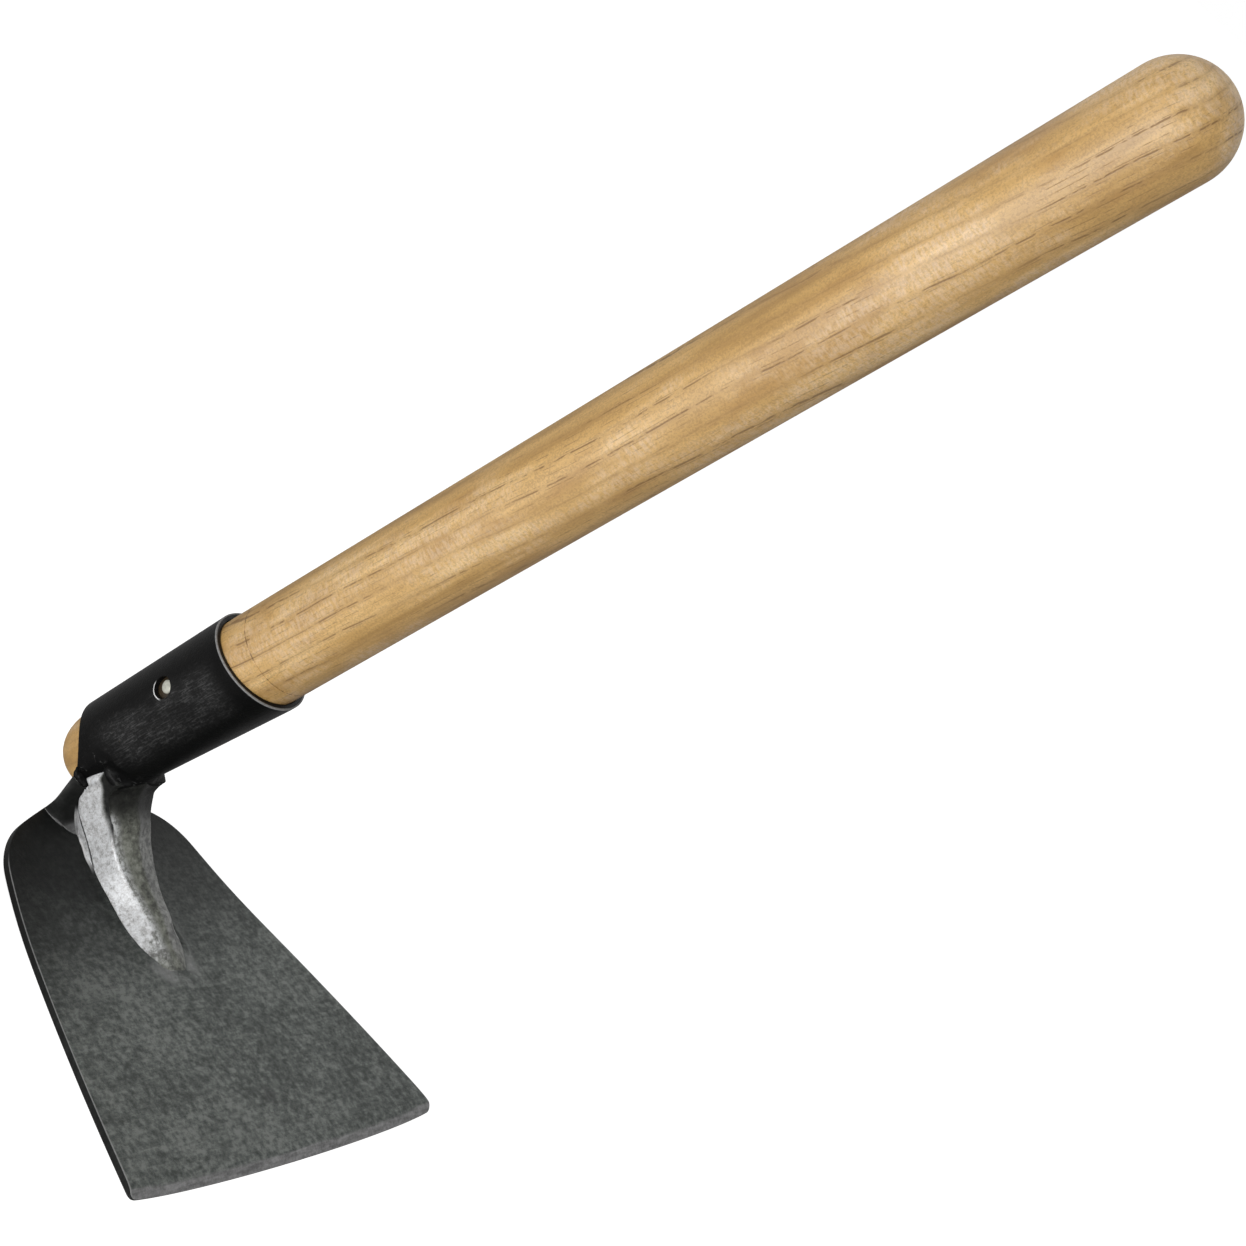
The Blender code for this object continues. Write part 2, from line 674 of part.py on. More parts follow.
def turned_on_nail_line(profile, offset=0.0, sides=20):
    """A solid turned about the nail's line, from (distance from the bore's centre, radius)."""
    station = -NAIL_STATION + offset
    centre = Vector((station, 0.0, seat_height(station)))
    outward = Vector((0.0, -math.cos(NAIL_ANGLE), math.sin(NAIL_ANGLE)))
    along = Vector((1.0, 0.0, 0.0))
    sideways = outward.cross(along)
    rings = []
    for reach, radius in profile:
        rings.append([centre + outward * reach
                      + radius * math.cos(math.tau * step / sides) * along
                      + radius * math.sin(math.tau * step / sides) * sideways for step in range(sides)])
    return loft(rings)


def nail_skin():
    seat = wood_radius(-NAIL_STATION) + SEAM_GAP
    point_end = seat - NAIL_LENGTH
    profile = (
        (point_end, NAIL_SHANK_RADIUS / 4),
        (point_end + NAIL_POINT, NAIL_SHANK_RADIUS),
        (seat, NAIL_SHANK_RADIUS),
        (seat, NAIL_HEAD_RADIUS),
        (seat + NAIL_HEAD_HEIGHT * 0.6, NAIL_HEAD_RADIUS),
        (seat + NAIL_HEAD_HEIGHT, NAIL_HEAD_RADIUS * 0.7),
    )
    return turned_on_nail_line(profile, NAIL_OFFSET)


def nail_bore_skin():
    seat = wood_radius(-NAIL_STATION)
    bore = NAIL_SHANK_RADIUS + SEAM_GAP
    profile = ((seat - NAIL_LENGTH - SEAM_GAP, bore), (seat + OVERCUT, bore))
    return turned_on_nail_line(profile, NAIL_OFFSET)


def nail_hole_skin():
    outside = socket_radius(-NAIL_STATION)
    flare = NAIL_HOLE_FLARE / SOCKET_WALL
    inner, outer = outside - SOCKET_WALL - OVERCUT, outside + OVERCUT
    return turned_on_nail_line(((inner, NAIL_HOLE_RADIUS - flare * (outside - inner)),
                                (outer, NAIL_HOLE_RADIUS + flare * OVERCUT)))


def lay_down(tool, pieces):
    """Lay the blade's flat back on the ground, with the whole tool centred over the origin."""
    point, normal = face_point(BEND_END)
    tool.rotation_euler = (0.0, LOWER_LEAN - math.radians(90), 0.0)
    turn = Matrix.Rotation(LOWER_LEAN - math.radians(90), 4, "Y")
    reach = [(turn @ vertex.co).x for piece in pieces for vertex in piece.data.vertices]
    tool.location = (-(min(reach) + max(reach)) / 2, 0.0, BLADE_THICKNESS - point.dot(normal))


def build():
    clear_scene()
    forged = material("forged_blade", (0.10, 0.11, 0.105), 0.45, 0.9)
    black = material("black_socket", (0.012, 0.012, 0.013), 0.35, 0.6)
    bright = material("ground_tang", (0.38, 0.39, 0.38), 0.35, 1.0)
    bead = material("weld_bead", (0.20, 0.20, 0.20), 0.5, 1.0)
    wood = material("oiled_wood", (0.56, 0.36, 0.17), 0.5, 0.0)
    zinc = material("nail_steel", (0.62, 0.63, 0.55), 0.3, 0.9)

    tool = bpy.data.objects.new("tool_frame", None)
    bpy.context.scene.collection.objects.link(tool)

    blade = solid("blade_plate", sheet_skin(), forged, tool)
    socket = solid("socket", socket_skin(), black, tool)
    handle = solid("handle", handle_skin(), wood, tool)
    tang_skin = loft(tang_upper_rings() + tang_lower_rings())
    tang = solid("tang", tang_skin, bright, tool, math.radians(25))
    neck_bead = solid("neck_weld", neck_bead_skin(), bead, tool)
    saddle_bead = solid("saddle_weld", saddle_bead_skin(), bead, tool)
    nail = solid("nail", nail_skin(), zinc, tool)

    seat_clearance = cutter("seat_clearance", seat_clearance_skin(), tool)
    cut(tang, cutter("saddle_bead_clearance", saddle_bead_skin(SEAM_GAP), tool))
    cut(tang, seat_clearance)
    cut(tang, cutter("sheet_clearance", sheet_clearance_skin(), tool))
    cut(saddle_bead, seat_clearance)
    cut(socket, cutter("nail_hole", nail_hole_skin(), tool))
    cut(handle, cutter("nail_bore", nail_bore_skin(), tool))
    lay_down(tool, (blade, socket, handle, nail))


build()
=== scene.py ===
# %% [markdown]
# # A hand hoe, dressed piece by piece
#
# This lesson dresses a short digging hoe: a forged steel blade, a socket, a tang in the
# corner between them, two weld beads, a turned wooden handle and the nail that holds it.
# The construction model gives every piece its size and place. Here each piece gets the
# surface that the real one shows: worn edges, ground steel, scale, welds and wood grain.

# %% Start from the construction model
import json
import math

import bpy
from mathutils import Matrix, Vector
from mathutils.bvhtree import BVHTree

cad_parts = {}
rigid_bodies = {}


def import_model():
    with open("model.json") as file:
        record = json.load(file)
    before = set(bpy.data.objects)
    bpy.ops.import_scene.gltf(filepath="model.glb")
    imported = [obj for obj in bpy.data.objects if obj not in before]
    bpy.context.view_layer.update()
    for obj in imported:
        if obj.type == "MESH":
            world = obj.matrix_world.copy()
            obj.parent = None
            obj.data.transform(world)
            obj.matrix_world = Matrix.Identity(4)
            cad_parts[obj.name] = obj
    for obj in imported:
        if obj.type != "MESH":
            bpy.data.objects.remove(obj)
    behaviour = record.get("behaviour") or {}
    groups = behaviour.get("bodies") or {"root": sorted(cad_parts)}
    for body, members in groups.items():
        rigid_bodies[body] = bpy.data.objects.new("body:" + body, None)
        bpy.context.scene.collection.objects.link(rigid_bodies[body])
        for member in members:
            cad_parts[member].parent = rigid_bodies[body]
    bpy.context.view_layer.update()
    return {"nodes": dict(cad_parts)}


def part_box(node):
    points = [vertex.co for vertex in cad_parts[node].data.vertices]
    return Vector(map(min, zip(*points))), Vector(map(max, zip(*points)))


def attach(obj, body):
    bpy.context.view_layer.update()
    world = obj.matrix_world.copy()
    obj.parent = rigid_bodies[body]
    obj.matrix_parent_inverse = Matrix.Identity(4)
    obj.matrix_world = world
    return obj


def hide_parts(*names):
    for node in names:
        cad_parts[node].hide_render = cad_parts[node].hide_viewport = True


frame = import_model()
print("nodes:", sorted(frame["nodes"]))

# %% [markdown]
# ## Where the handle is
#
# A hoe is easiest to think about along its handle. The tool coordinates used below run +X
# along the handle from the socket's mouth to the butt, +Y across, and +Z away from the
# blade. The blade lies flat on the floor, so the handle leans. Three known sizes and the
# handle's box are enough to find the mouth: the top of the box touches the round butt.
# A matrix made from that point and the lean carries every new piece to its place.

# %% Tool coordinates
BLADE_LEAN = math.radians(18.8)     # blade from square to the handle
GRIP_LENGTH = 0.338                 # socket's mouth to the centre of the round butt
BUTT_RADIUS = 0.0175
QUARTER = math.radians(90)

_, handle_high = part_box("handle")
axis = Vector((math.sin(BLADE_LEAN), 0.0, math.cos(BLADE_LEAN)))
butt_centre = Vector((handle_high.x - BUTT_RADIUS, 0.0, handle_high.z - BUTT_RADIUS))
MOUTH = butt_centre - axis * GRIP_LENGTH
TOOL_TURN = BLADE_LEAN - QUARTER
TOOL = Matrix.Translation(MOUTH) @ Matrix.Rotation(TOOL_TURN, 4, "Y")
print("mouth of the socket, mm:", [round(1000 * value, 1) for value in MOUTH])

# %% [markdown]
# ## Camera
#
# The photograph was taken from a little above, from the hoe's left and front, with the
# camera rolled so that the handle runs up to the right. The pose below was fitted to the
# handle's two edges, the round mouth of the socket and the outline of the blade. It is
# written in plain numbers, because the handle's place in the picture is the measurement.

# %% Camera
PICTURE = 1246                      # pixels, both ways
FOCAL_PIXELS = 2499
SENSOR = 36.0
CAMERA_PLACE = (0.30384, -0.62911, 0.49349)
CAMERA_TURN = (1.06253, -0.65940, 0.72307)

camera_data = bpy.data.cameras.new("photo_camera")
camera_data.sensor_width = SENSOR
camera_data.lens = SENSOR * FOCAL_PIXELS / PICTURE
camera = bpy.data.objects.new("photo_camera", camera_data)
bpy.context.scene.collection.objects.link(camera)
camera.location = CAMERA_PLACE
camera.rotation_euler = CAMERA_TURN
bpy.context.scene.camera = camera
print("lens, mm:", round(camera_data.lens, 2))

# %% [markdown]
# ## Shader maths in Python
#
# A pattern such as wood grain is a long chain of nodes. Written as node calls it can't be
# read, so one small class wraps a socket and gives it the usual operators: `a * 2 + b`
# then adds the Math nodes by itself. `Nodes` holds a tree and has a single method that
# adds any other node, with its settings first and its inputs after. `Finish` is such a
# tree with a material round it.

# %% A number inside a material
class Number:
    """An output socket of a node, which takes part in Python expressions."""

    def __init__(self, nodes, socket):
        self.nodes, self.socket = nodes, socket

    def maths(self, operation, first, second=0.0):
        settings = {"operation": operation}
        return self.nodes.node("ShaderNodeMath", settings, {0: first, 1: second})

    def __add__(self, other):
        return self.maths("ADD", self, other)

    def __sub__(self, other):
        return self.maths("SUBTRACT", self, other)

    def __rsub__(self, other):
        return self.maths("SUBTRACT", other, self)

    def __mul__(self, other):
        return self.maths("MULTIPLY", self, other)

    def __pow__(self, other):
        return self.maths("POWER", self, other)

    __radd__, __rmul__ = __add__, __mul__

    def least(self, other):
        return self.maths("MINIMUM", self, other)

    def most(self, other):
        return self.maths("MAXIMUM", self, other)

    def rise(self, low, high):
        """0 below low, 1 above high, and a smooth step between."""
        settings = {"interpolation_type": "SMOOTHSTEP"}
        return self.nodes.node("ShaderNodeMapRange", settings, {0: self, 1: low, 2: high})

    def fall(self, low, high):
        """1 below low, 0 above high, and a smooth step between."""
        return 1.0 - self.rise(low, high)

    def swing(self, width):
        """Noise between 0 and 1 as a number about 0."""
        return (self - 0.5) * width


# %% A tree of nodes
class Nodes:
    """A tree to which nodes are added by expressions and by node()."""

    def __init__(self, tree):
        self.tree = tree

    def feed(self, socket, value):
        if isinstance(value, Number):
            self.tree.links.new(value.socket, socket)
        else:
            socket.default_value = value

    def node(self, kind, settings=None, inputs=None, output=0):
        node = self.tree.nodes.new(kind)
        for key, value in (settings or {}).items():
            if key == "stops":
                self.set_stops(node.color_ramp, value)
            else:
                setattr(node, key, value)
        for key, value in (inputs or {}).items():
            self.feed(node.inputs[key], value)
        return Number(self, node.outputs[output])

    def set_stops(self, ramp, stops):
        while len(ramp.elements) < len(stops):
            ramp.elements.new(0.5)
        for element, (position, colour) in zip(ramp.elements, stops):
            element.position = position
            element.color = colour


# %% A material
class Finish(Nodes):
    """One material, whose last node is the Principled shader."""

    def __init__(self, name):
        self.material = bpy.data.materials.new(name)
        self.material.use_nodes = True
        super().__init__(self.material.node_tree)

    def surface(self, **inputs):
        """Values or links of the Principled shader, with _ for each space in a name."""
        shader = self.tree.nodes["Principled BSDF"]
        for key, value in inputs.items():
            self.feed(shader.inputs[key.replace("_", " ")], value)
        return self.material


print("shader helpers are ready")

# %% [markdown]
# ## Patterns that every finish uses
#
# All patterns read Object coordinates, turned into tool coordinates by a Mapping node, so
# that the grain runs along the handle and never slides. Noise with unequal scales makes
# streaks, and a ramp or a mix turns a number into a colour.

# %% Pattern helpers
def tool_point(finish):
    """The point being shaded, in tool coordinates."""
    place = finish.node("ShaderNodeTexCoord", output="Object")
    settings = {"vector_type": "TEXTURE"}
    inputs = {"Vector": place, "Location": MOUTH, "Rotation": (0.0, TOOL_TURN, 0.0)}
    return finish.node("ShaderNodeMapping", settings, inputs)


def world_point(finish):
    """The point being shaded as it stands on the floor: down the blade, across and up."""
    return finish.node("ShaderNodeTexCoord", output="Object")


def facing(finish):
    """The way that the surface faces, as three numbers: down the blade, across and up."""
    return split(finish.node("ShaderNodeNewGeometry", output="Normal"))


def mark(finish, name):
    """A number that the mesh carries under a name."""
    return finish.node("ShaderNodeAttribute", {"attribute_name": name}, output="Fac")


def split(vector):
    """The three coordinates of a vector, as numbers."""
    kind = "ShaderNodeSeparateXYZ"
    return [vector.nodes.node(kind, inputs={0: vector}, output=axis) for axis in "XYZ"]


def cloud(vector, scale, detail=3.0, roughness=0.5, distortion=0.0):
    inputs = {"Vector": vector, "Scale": scale, "Detail": detail,
              "Roughness": roughness, "Distortion": distortion}
    return vector.nodes.node("ShaderNodeTexNoise", inputs=inputs)


def streaks(vector, scale, detail, roughness=0.5, distortion=0.0,
            shift=(0.0, 0.0, 0.0)):
    """Noise with a scale of its own for each direction."""
    inputs = {"Vector": vector, "Scale": scale, "Location": shift}
    drawn_out = vector.nodes.node("ShaderNodeMapping", inputs=inputs)
    return cloud(drawn_out, 1.0, detail, roughness, distortion)


def blend(share, first, second):
    inputs = {0: share, 6: first, 7: second}
    return share.nodes.node("ShaderNodeMix", {"data_type": "RGBA"}, inputs, output=2)


def ramp(value, *stops):
    return value.nodes.node("ShaderNodeValToRGB", {"stops": stops}, {0: value})


def bump(height, depth):
    """A Bump node for a height from 0 to 1 that stands for a depth in metres."""
    inputs = {"Height": height, "Distance": depth}
    return height.nodes.node("ShaderNodeBump", inputs=inputs)


def shade(level, green=1.0, blue=1.0, red=1.0):
    """A colour in linear light from a grey level of 0 to 255, as a picture shows it."""
    share = level / 255.0
    linear = share / 12.92 if share < 0.04045 else ((share + 0.055) / 1.055) ** 2.4
    return (linear * red, linear * green, linear * blue, 1.0)


print("mid grey 128 is", round(shade(128)[0], 3), "in linear light")

# %% [markdown]
# ## Modelling helpers
#
# The new pieces are modelled as by hand, with operators. An operator acts on all that is
# selected, so everything is deselected first. Each piece is drawn about the world's origin
# in tool coordinates, and the last step lays it in its place and applies that to the mesh.

# %% Selecting
def deselect():
    bpy.ops.object.select_all(action="DESELECT")


def only(piece):
    """Select one object and make it the active one."""
    deselect()
    piece.select_set(True)
    bpy.context.view_layer.objects.active = piece


def edit(piece, mode="VERT", action="SELECT"):
    """Enter edit mode, with everything selected or, with action="DESELECT", nothing."""
    only(piece)
    bpy.ops.object.mode_set(mode="EDIT")
    bpy.ops.mesh.select_mode(type=mode)
    bpy.ops.mesh.select_all(action=action)


def leave():
    bpy.ops.object.mode_set(mode="OBJECT")


print("selecting helpers are ready")


# %% Shaping, laying in place and handing over
def use_modifier(piece, kind, **settings):
    """Add a modifier, set it and apply it."""
    only(piece)
    modifier = piece.modifiers.new(kind.lower(), kind)
    for key, value in settings.items():
        setattr(modifier, key, value)
    bpy.ops.object.modifier_apply(modifier=modifier.name)


def apply_place():
    bpy.ops.object.transform_apply(location=True, rotation=True, scale=True)


def lay_in_place(piece):
    """Turn a piece drawn in tool coordinates into its place, with its object at the origin."""
    only(piece)
    apply_place()
    piece.matrix_world = TOOL
    apply_place()


def soften(piece, angle=30):
    only(piece)
    bpy.ops.object.shade_smooth_by_angle(angle=math.radians(angle))


def dress(piece, name, node, material):
    """Name a finished piece, give it its finish, and let it stand for its node."""
    piece.name = piece.data.name = name
    piece.data.materials.clear()
    piece.data.materials.append(material)
    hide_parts(node)
    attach(piece, "root")
    print(name, "has", len(piece.data.vertices), "vertices")


SAME_PLACE = 0.00001                # vertices nearer than this are one


def copy_of(node):
    """A separate copy of a construction node, with its loose triangles merged."""
    source = frame["nodes"][node]
    piece = bpy.data.objects.new(node + "_copy", source.data.copy())
    bpy.context.scene.collection.objects.link(piece)
    edit(piece)
    bpy.ops.mesh.remove_doubles(threshold=SAME_PLACE)
    bpy.ops.mesh.normals_make_consistent(inside=False)
    leave()
    return piece


print("modelling helpers are ready")

# %% [markdown]
# ## A turned piece
#
# Handle, socket and nail are round. A lathe shapes such a piece ring by ring, and so does
# this helper: it adds a circle at the first ring, then extrudes it along the piece and
# resizes it about its own centre, once for every ring of the profile.

# %% Turning helper
def turned(rings, sides, fill="NGON"):
    """A round piece through rings of (station, radius, height of the centre)."""
    deselect()
    station, radius, height = rings[0]
    bpy.ops.mesh.primitive_circle_add(vertices=sides, radius=radius, fill_type=fill,
                                      location=(station, 0.0, height),
                                      rotation=(0.0, QUARTER, 0.0))
    piece = bpy.context.object
    bpy.ops.object.mode_set(mode="EDIT")
    for before, after in zip(rings, rings[1:]):
        step = (after[0] - before[0], 0.0, after[2] - before[2])
        bpy.ops.mesh.extrude_region_move(TRANSFORM_OT_translate={"value": step})
        share = after[1] / before[1]
        bpy.ops.transform.resize(value=(1.0, share, share), orient_type="GLOBAL",
                                 center_override=(after[0], 0.0, after[2]))
    bpy.ops.mesh.select_all(action="SELECT")
    bpy.ops.mesh.normals_make_consistent(inside=False)
    leave()
    apply_place()
    return piece


print("the lathe is ready")

# %% [markdown]
# ## Handle
#
# The real handle is one piece of ash, turned between centres: a round butt, a grip that
# thickens a little towards it, a scribed line where the socket stops, a tapered seat
# inside the socket and a rounded nose that stands out behind. The seat follows the
# socket's bore, which narrows and climbs a little towards the rear. Sharp tools leave the
# line as a small groove, so it is a few close rings in the profile and not only a dark line.

# %% Handle: sizes
SOCKET_LENGTH = 0.0688
SOCKET_MOUTH_RADIUS = 0.0186
SOCKET_REAR_RADIUS = 0.0164
SOCKET_WALL = 0.0018
SEAT_RISE = 0.0008                  # how far the bore's centre climbs to the rear
SEAT_GAP = 0.0003
GRIP_MIDDLE_RADIUS = 0.0170
NOSE_LENGTH = 0.0198
NOSE_FULLNESS = 2.5                 # 2 is an ellipse, more is blunter
NOSE_SWEEP = math.radians(89.5)     # just short of a quarter turn, to leave a tip
SCRIBE_STATION = 0.0095
SCRIBE_DEPTH = 0.0002
SCRIBE_HALF_WIDTH = 0.0003
TIP_RADIUS = 0.0002
HANDLE_SIDES = 96


def seat_height(station):
    return SEAT_RISE * max(-station, 0.0) / SOCKET_LENGTH


def socket_radius(station):
    taper = (SOCKET_MOUTH_RADIUS - SOCKET_REAR_RADIUS) / SOCKET_LENGTH
    return SOCKET_MOUTH_RADIUS + taper * min(station, 0.0)


def wood_radius(station):
    return socket_radius(station) - SOCKET_WALL - SEAT_GAP


def grip_radius(station):
    """A parabola through the mouth, the middle and the butt."""
    share = station / GRIP_LENGTH
    ends = wood_radius(0.0) + (BUTT_RADIUS - wood_radius(0.0)) * share
    waist = GRIP_MIDDLE_RADIUS - (wood_radius(0.0) + BUTT_RADIUS) / 2
    return ends + 4.0 * waist * share * (1.0 - share)


print("grip at its middle, mm across:", round(2000 * grip_radius(GRIP_LENGTH / 2), 1))


# %% Handle: shape
def handle_rings():
    rings = []
    butt_steps, grip_steps, seat_steps, nose_steps = 18, 36, 6, 14
    first = math.asin(TIP_RADIUS / BUTT_RADIUS)
    for step in range(butt_steps):
        angle = first + (QUARTER - first) * step / butt_steps
        station = GRIP_LENGTH + BUTT_RADIUS * math.cos(angle)
        rings.append((station, BUTT_RADIUS * math.sin(angle), 0.0))
    stations = [GRIP_LENGTH * (1.0 - step / grip_steps) for step in range(grip_steps)]
    scribe = [SCRIBE_STATION + SCRIBE_HALF_WIDTH * side for side in (2, 1, 0, -1, -2)]
    for station in sorted(stations + scribe, reverse=True):
        depth = SCRIBE_DEPTH if station == SCRIBE_STATION else 0.0
        rings.append((station, grip_radius(station) - depth, 0.0))
    for step in range(seat_steps + 1):
        station = -SOCKET_LENGTH * step / seat_steps
        rings.append((station, wood_radius(station), seat_height(station)))
    for step in range(1, nose_steps + 1):
        share = math.sin(NOSE_SWEEP * step / nose_steps)
        shrink = (1.0 - share ** NOSE_FULLNESS) ** (1.0 / NOSE_FULLNESS)
        radius = max(wood_radius(-SOCKET_LENGTH) * shrink, TIP_RADIUS)
        station = -SOCKET_LENGTH - NOSE_LENGTH * share
        rings.append((station, radius, seat_height(-SOCKET_LENGTH)))
    return rings


handle = turned(handle_rings(), HANDLE_SIDES)
lay_in_place(handle)
soften(handle, 40)
print("handle rings:", len(handle_rings()))

# %% [markdown]
# ## Handle: the finish
#
# The wood is ring porous. Each year leaves a thin band of open pores, which shows along the
# handle as a row of fine dark dashes, with plain pale wood between the rows. Growth bands
# are slices of wide cylinders round the tree's heart, so they are drawn from the distance
# to a line far beside the handle. The tree's heart wasn't quite in line with the lathe, so
# the rows run out of the handle at a small angle. Noise stretched along the grain breaks
# the rows into dashes, and noise stretched across it gives the small marks of the rays.

# %% Handle: helpers of the finish
HEART = (-0.045, 0.150)             # the tree's heart beside the handle, across and up
RUN_OUT = 0.058                     # how fast the rows of pores drift across the handle
YEAR = 0.0061                       # one year's growth
PORE_WIDTH = 0.00036
NAIL_STATION = -0.028
NAIL_ANGLE = math.radians(11.5)
NAIL_HOLE_RADIUS = 0.0038
NAIL_SIDE = (-0.002, 0.0)           # across the handle, where the nail's side ends


def from_nail_line(along, across, up):
    """Distance from the line of the nail's hole, and how far along the handle from it."""
    level = up - seat_height(NAIL_STATION)
    beside = across * math.sin(NAIL_ANGLE) + level * math.cos(NAIL_ANGLE)
    ahead = along - NAIL_STATION
    return (beside ** 2.0 + ahead ** 2.0) ** 0.5, ahead


def pore_rows(radius, pitch, width):
    """1 on a thin line once a year and 0 between, and how near to that line a point is."""
    year = radius.maths("PINGPONG", radius * (1.0 / pitch), 0.5) * 2.0
    return year.rise(1.0 - 2.0 * width / pitch, 1.0 - 0.6 * width / pitch), year


print("years across the handle:", round(2 * BUTT_RADIUS / YEAR, 1))


# %% Handle: wood between the pores
def plain_wood(point, fibre, grains, patch):
    """Yellow brown in long soft streaks, with warmer blotches and a fine darker meal."""
    streak = streaks(point, (8.0, 170.0, 170.0), 4.0, 0.6)
    tone = streak * 0.5 + patch * 0.35 + fibre * 0.15
    base = ramp(tone, (0.38, shade(178, 0.575, 0.165)), (0.46, shade(201, 0.605, 0.20)),
                (0.54, shade(216, 0.63, 0.23)), (0.62, shade(232, 0.68, 0.30)))
    blotch = streaks(point, (26.0, 75.0, 75.0), 4.0, 0.65, shift=(0.4, 0.6, 0.1))
    warm = blend(blotch.rise(0.51, 0.66) * 0.6, base, shade(180, 0.54, 0.145))
    meal = (grains * 0.6 + fibre * 0.4).rise(0.44, 0.60)
    return blend(meal * 0.46, warm, shade(152, 0.555, 0.17))


# %% Handle: pores
def pore_marks(point, along, radius, jitter, patch):
    """How much of a pore each point is, and how near to the line of a year's pores."""
    strong, year = pore_rows(radius, YEAR, PORE_WIDTH)
    weak, _ = pore_rows(radius + jitter * 0.0006, YEAR / 3.1, PORE_WIDTH / 2)
    dash = streaks(point, (190.0, 520.0, 520.0), 3.0, 0.6, shift=(0.3, 0.1, 0.6))
    gate = streaks(point, (16.0, 90.0, 90.0), 2.0, 0.5, shift=(0.5, 0.9, 0.2))
    rows = strong * dash.rise(0.42, 0.54) * (0.25 + gate.rise(0.42, 0.58) * 0.75)
    faint = weak * dash.rise(0.46, 0.58) * gate.rise(0.40, 0.56)
    short = streaks(point, (130.0, 1500.0, 1500.0), 2.0, 0.6, shift=(0.1, 0.8, 0.4))
    near_socket = 1.0 - along.rise(0.06, 0.22) * 0.8
    strokes = short.rise(0.66, 0.74) * near_socket * patch.rise(0.42, 0.58)
    return rows.most(faint * 0.6).most(strokes * 0.8), year


# %% Handle: finish
def wood_finish():
    wood = Finish("oiled_ash")
    point = tool_point(wood)
    along, across, up = split(point)
    slow = streaks(point, (9.0, 30.0, 30.0), 2.0)
    jitter = streaks(point, (60.0, 300.0, 300.0), 2.0)
    drift = along * RUN_OUT + slow * 0.008 + jitter * 0.0008
    radius = ((across - HEART[0]) ** 2.0 + (up + drift - HEART[1]) ** 2.0) ** 0.5

    fibre = streaks(point, (70.0, 1100.0, 1100.0), 4.0, 0.7)
    grains = cloud(point, 1500.0, 2.0, 0.7)
    patch = streaks(point, (22.0, 60.0, 60.0), 3.0, 0.55, shift=(0.7, 0.2, 0.4))
    pores, year = pore_marks(point, along, radius, jitter, patch)
    plain = plain_wood(point, fibre, grains, patch)
    banded = blend(year.rise(0.45, 0.95) * 0.26, plain, shade(172, 0.575, 0.205))
    porous = blend(pores * 0.8, banded, shade(124, 0.50, 0.12))
    ray = streaks(point, (1000.0, 330.0, 330.0), 4.0, 0.68, shift=(0.2, 0.5, 0.3))
    pale = patch.rise(0.46, 0.60) * (1.0 - year.rise(0.5, 0.95) * 0.8)
    flecked = blend(ray.rise(0.38, 0.62) * pale * 0.30, porous, shade(240, 0.80, 0.60))
    crossed = blend(ray.rise(0.58, 0.70) * pale * 0.34, flecked, shade(176, 0.60, 0.30))

    scribe = 1.0 - ((along - SCRIBE_STATION) * (1.0 / SCRIBE_HALF_WIDTH)) ** 2.0
    line = scribe.rise(0.0, 0.8) * jitter.rise(0.40, 0.55)
    scribed = blend(line * 0.6, crossed, shade(116, 0.60, 0.26))
    from_nail, _ = from_nail_line(along, across, up)
    # Painted shade: the wood seen in the nail's hole is darkened nearly to black, where the
    # hole's wall shades it.
    hole_shade = from_nail.fall(NAIL_HOLE_RADIUS, NAIL_HOLE_RADIUS * 1.3) * across.fall(*NAIL_SIDE)
    shaded = blend(hole_shade * 0.95, scribed, shade(26, 0.7, 0.4))
    height = fibre * 0.35 + grains * 0.15 + (1.0 - pores) * 0.5
    return wood.surface(Base_Color=shaded, Roughness=0.43 + fibre * 0.10 + pores * 0.15,
                        Specular_IOR_Level=0.95, Normal=bump(height, 0.00010))


dress(handle, "turned_handle", "handle", wood_finish())

# %% [markdown]
# ## Socket
#
# The socket is a strip rolled into a tapered tube. Its mouth is cut at a slant and its
# rear rim sweeps back towards the blade. A tube of rings is the natural start: the slant
# is one bisect, a Solidify gives the wall, and the sweep is cut with an elliptical block
# and two square ones, as a smith would nibble it away. A fine bevel rounds every rim.

# %% Socket: sizes
MOUTH_SLANT = math.radians(8.6)
SWEEP_REAR = -0.0933                # where the rear rim ends, at the shoulders
SWEEP_TOP = 0.0105                  # height at which the rim starts to sweep back
SWEEP_HEIGHT = 0.0217
JOINT_STATION = -0.0753             # where the socket meets the neck, underneath
BLOCK = 0.08                        # size of the cutting blocks
OVERLAP = 0.0002
RIM_ROUND = 0.00045
RIM_ANGLE = math.radians(40)        # edges sharper than this are rounded
HOLE_DEPTH = 0.01                   # length of the block that cuts the nail's hole
TUBE_SIDES, SWEEP_SIDES, HOLE_SIDES = 128, 160, 48
TUBE_STEPS = 30
TUBE_SPARE = (0.004, 0.002)         # cut away again at the mouth and at the rear

print("rim's sweep, mm:", round(1000 * (-SOCKET_LENGTH - SWEEP_REAR), 1))


# %% Socket: shape
def cut_with_active(piece):
    """Take the active object away from a piece, and remove it."""
    cutter = bpy.context.object
    apply_place()
    use_modifier(piece, "BOOLEAN", operation="DIFFERENCE", solver="EXACT", object=cutter)
    bpy.data.objects.remove(cutter, do_unlink=True)


def tube():
    first, last = TUBE_SPARE[0], SWEEP_REAR - TUBE_SPARE[1]
    stations = [first + (last - first) * step / TUBE_STEPS for step in range(TUBE_STEPS + 1)]
    rings = [(place, socket_radius(place), seat_height(place)) for place in stations]
    return turned(rings, TUBE_SIDES, "NOTHING")


def cut_mouth(piece):
    edit(piece)
    slanted = (math.cos(MOUTH_SLANT), 0.0, math.sin(MOUTH_SLANT))
    bpy.ops.mesh.bisect(plane_co=(0.0, 0.0, 0.0), plane_no=slanted, clear_outer=True)
    leave()


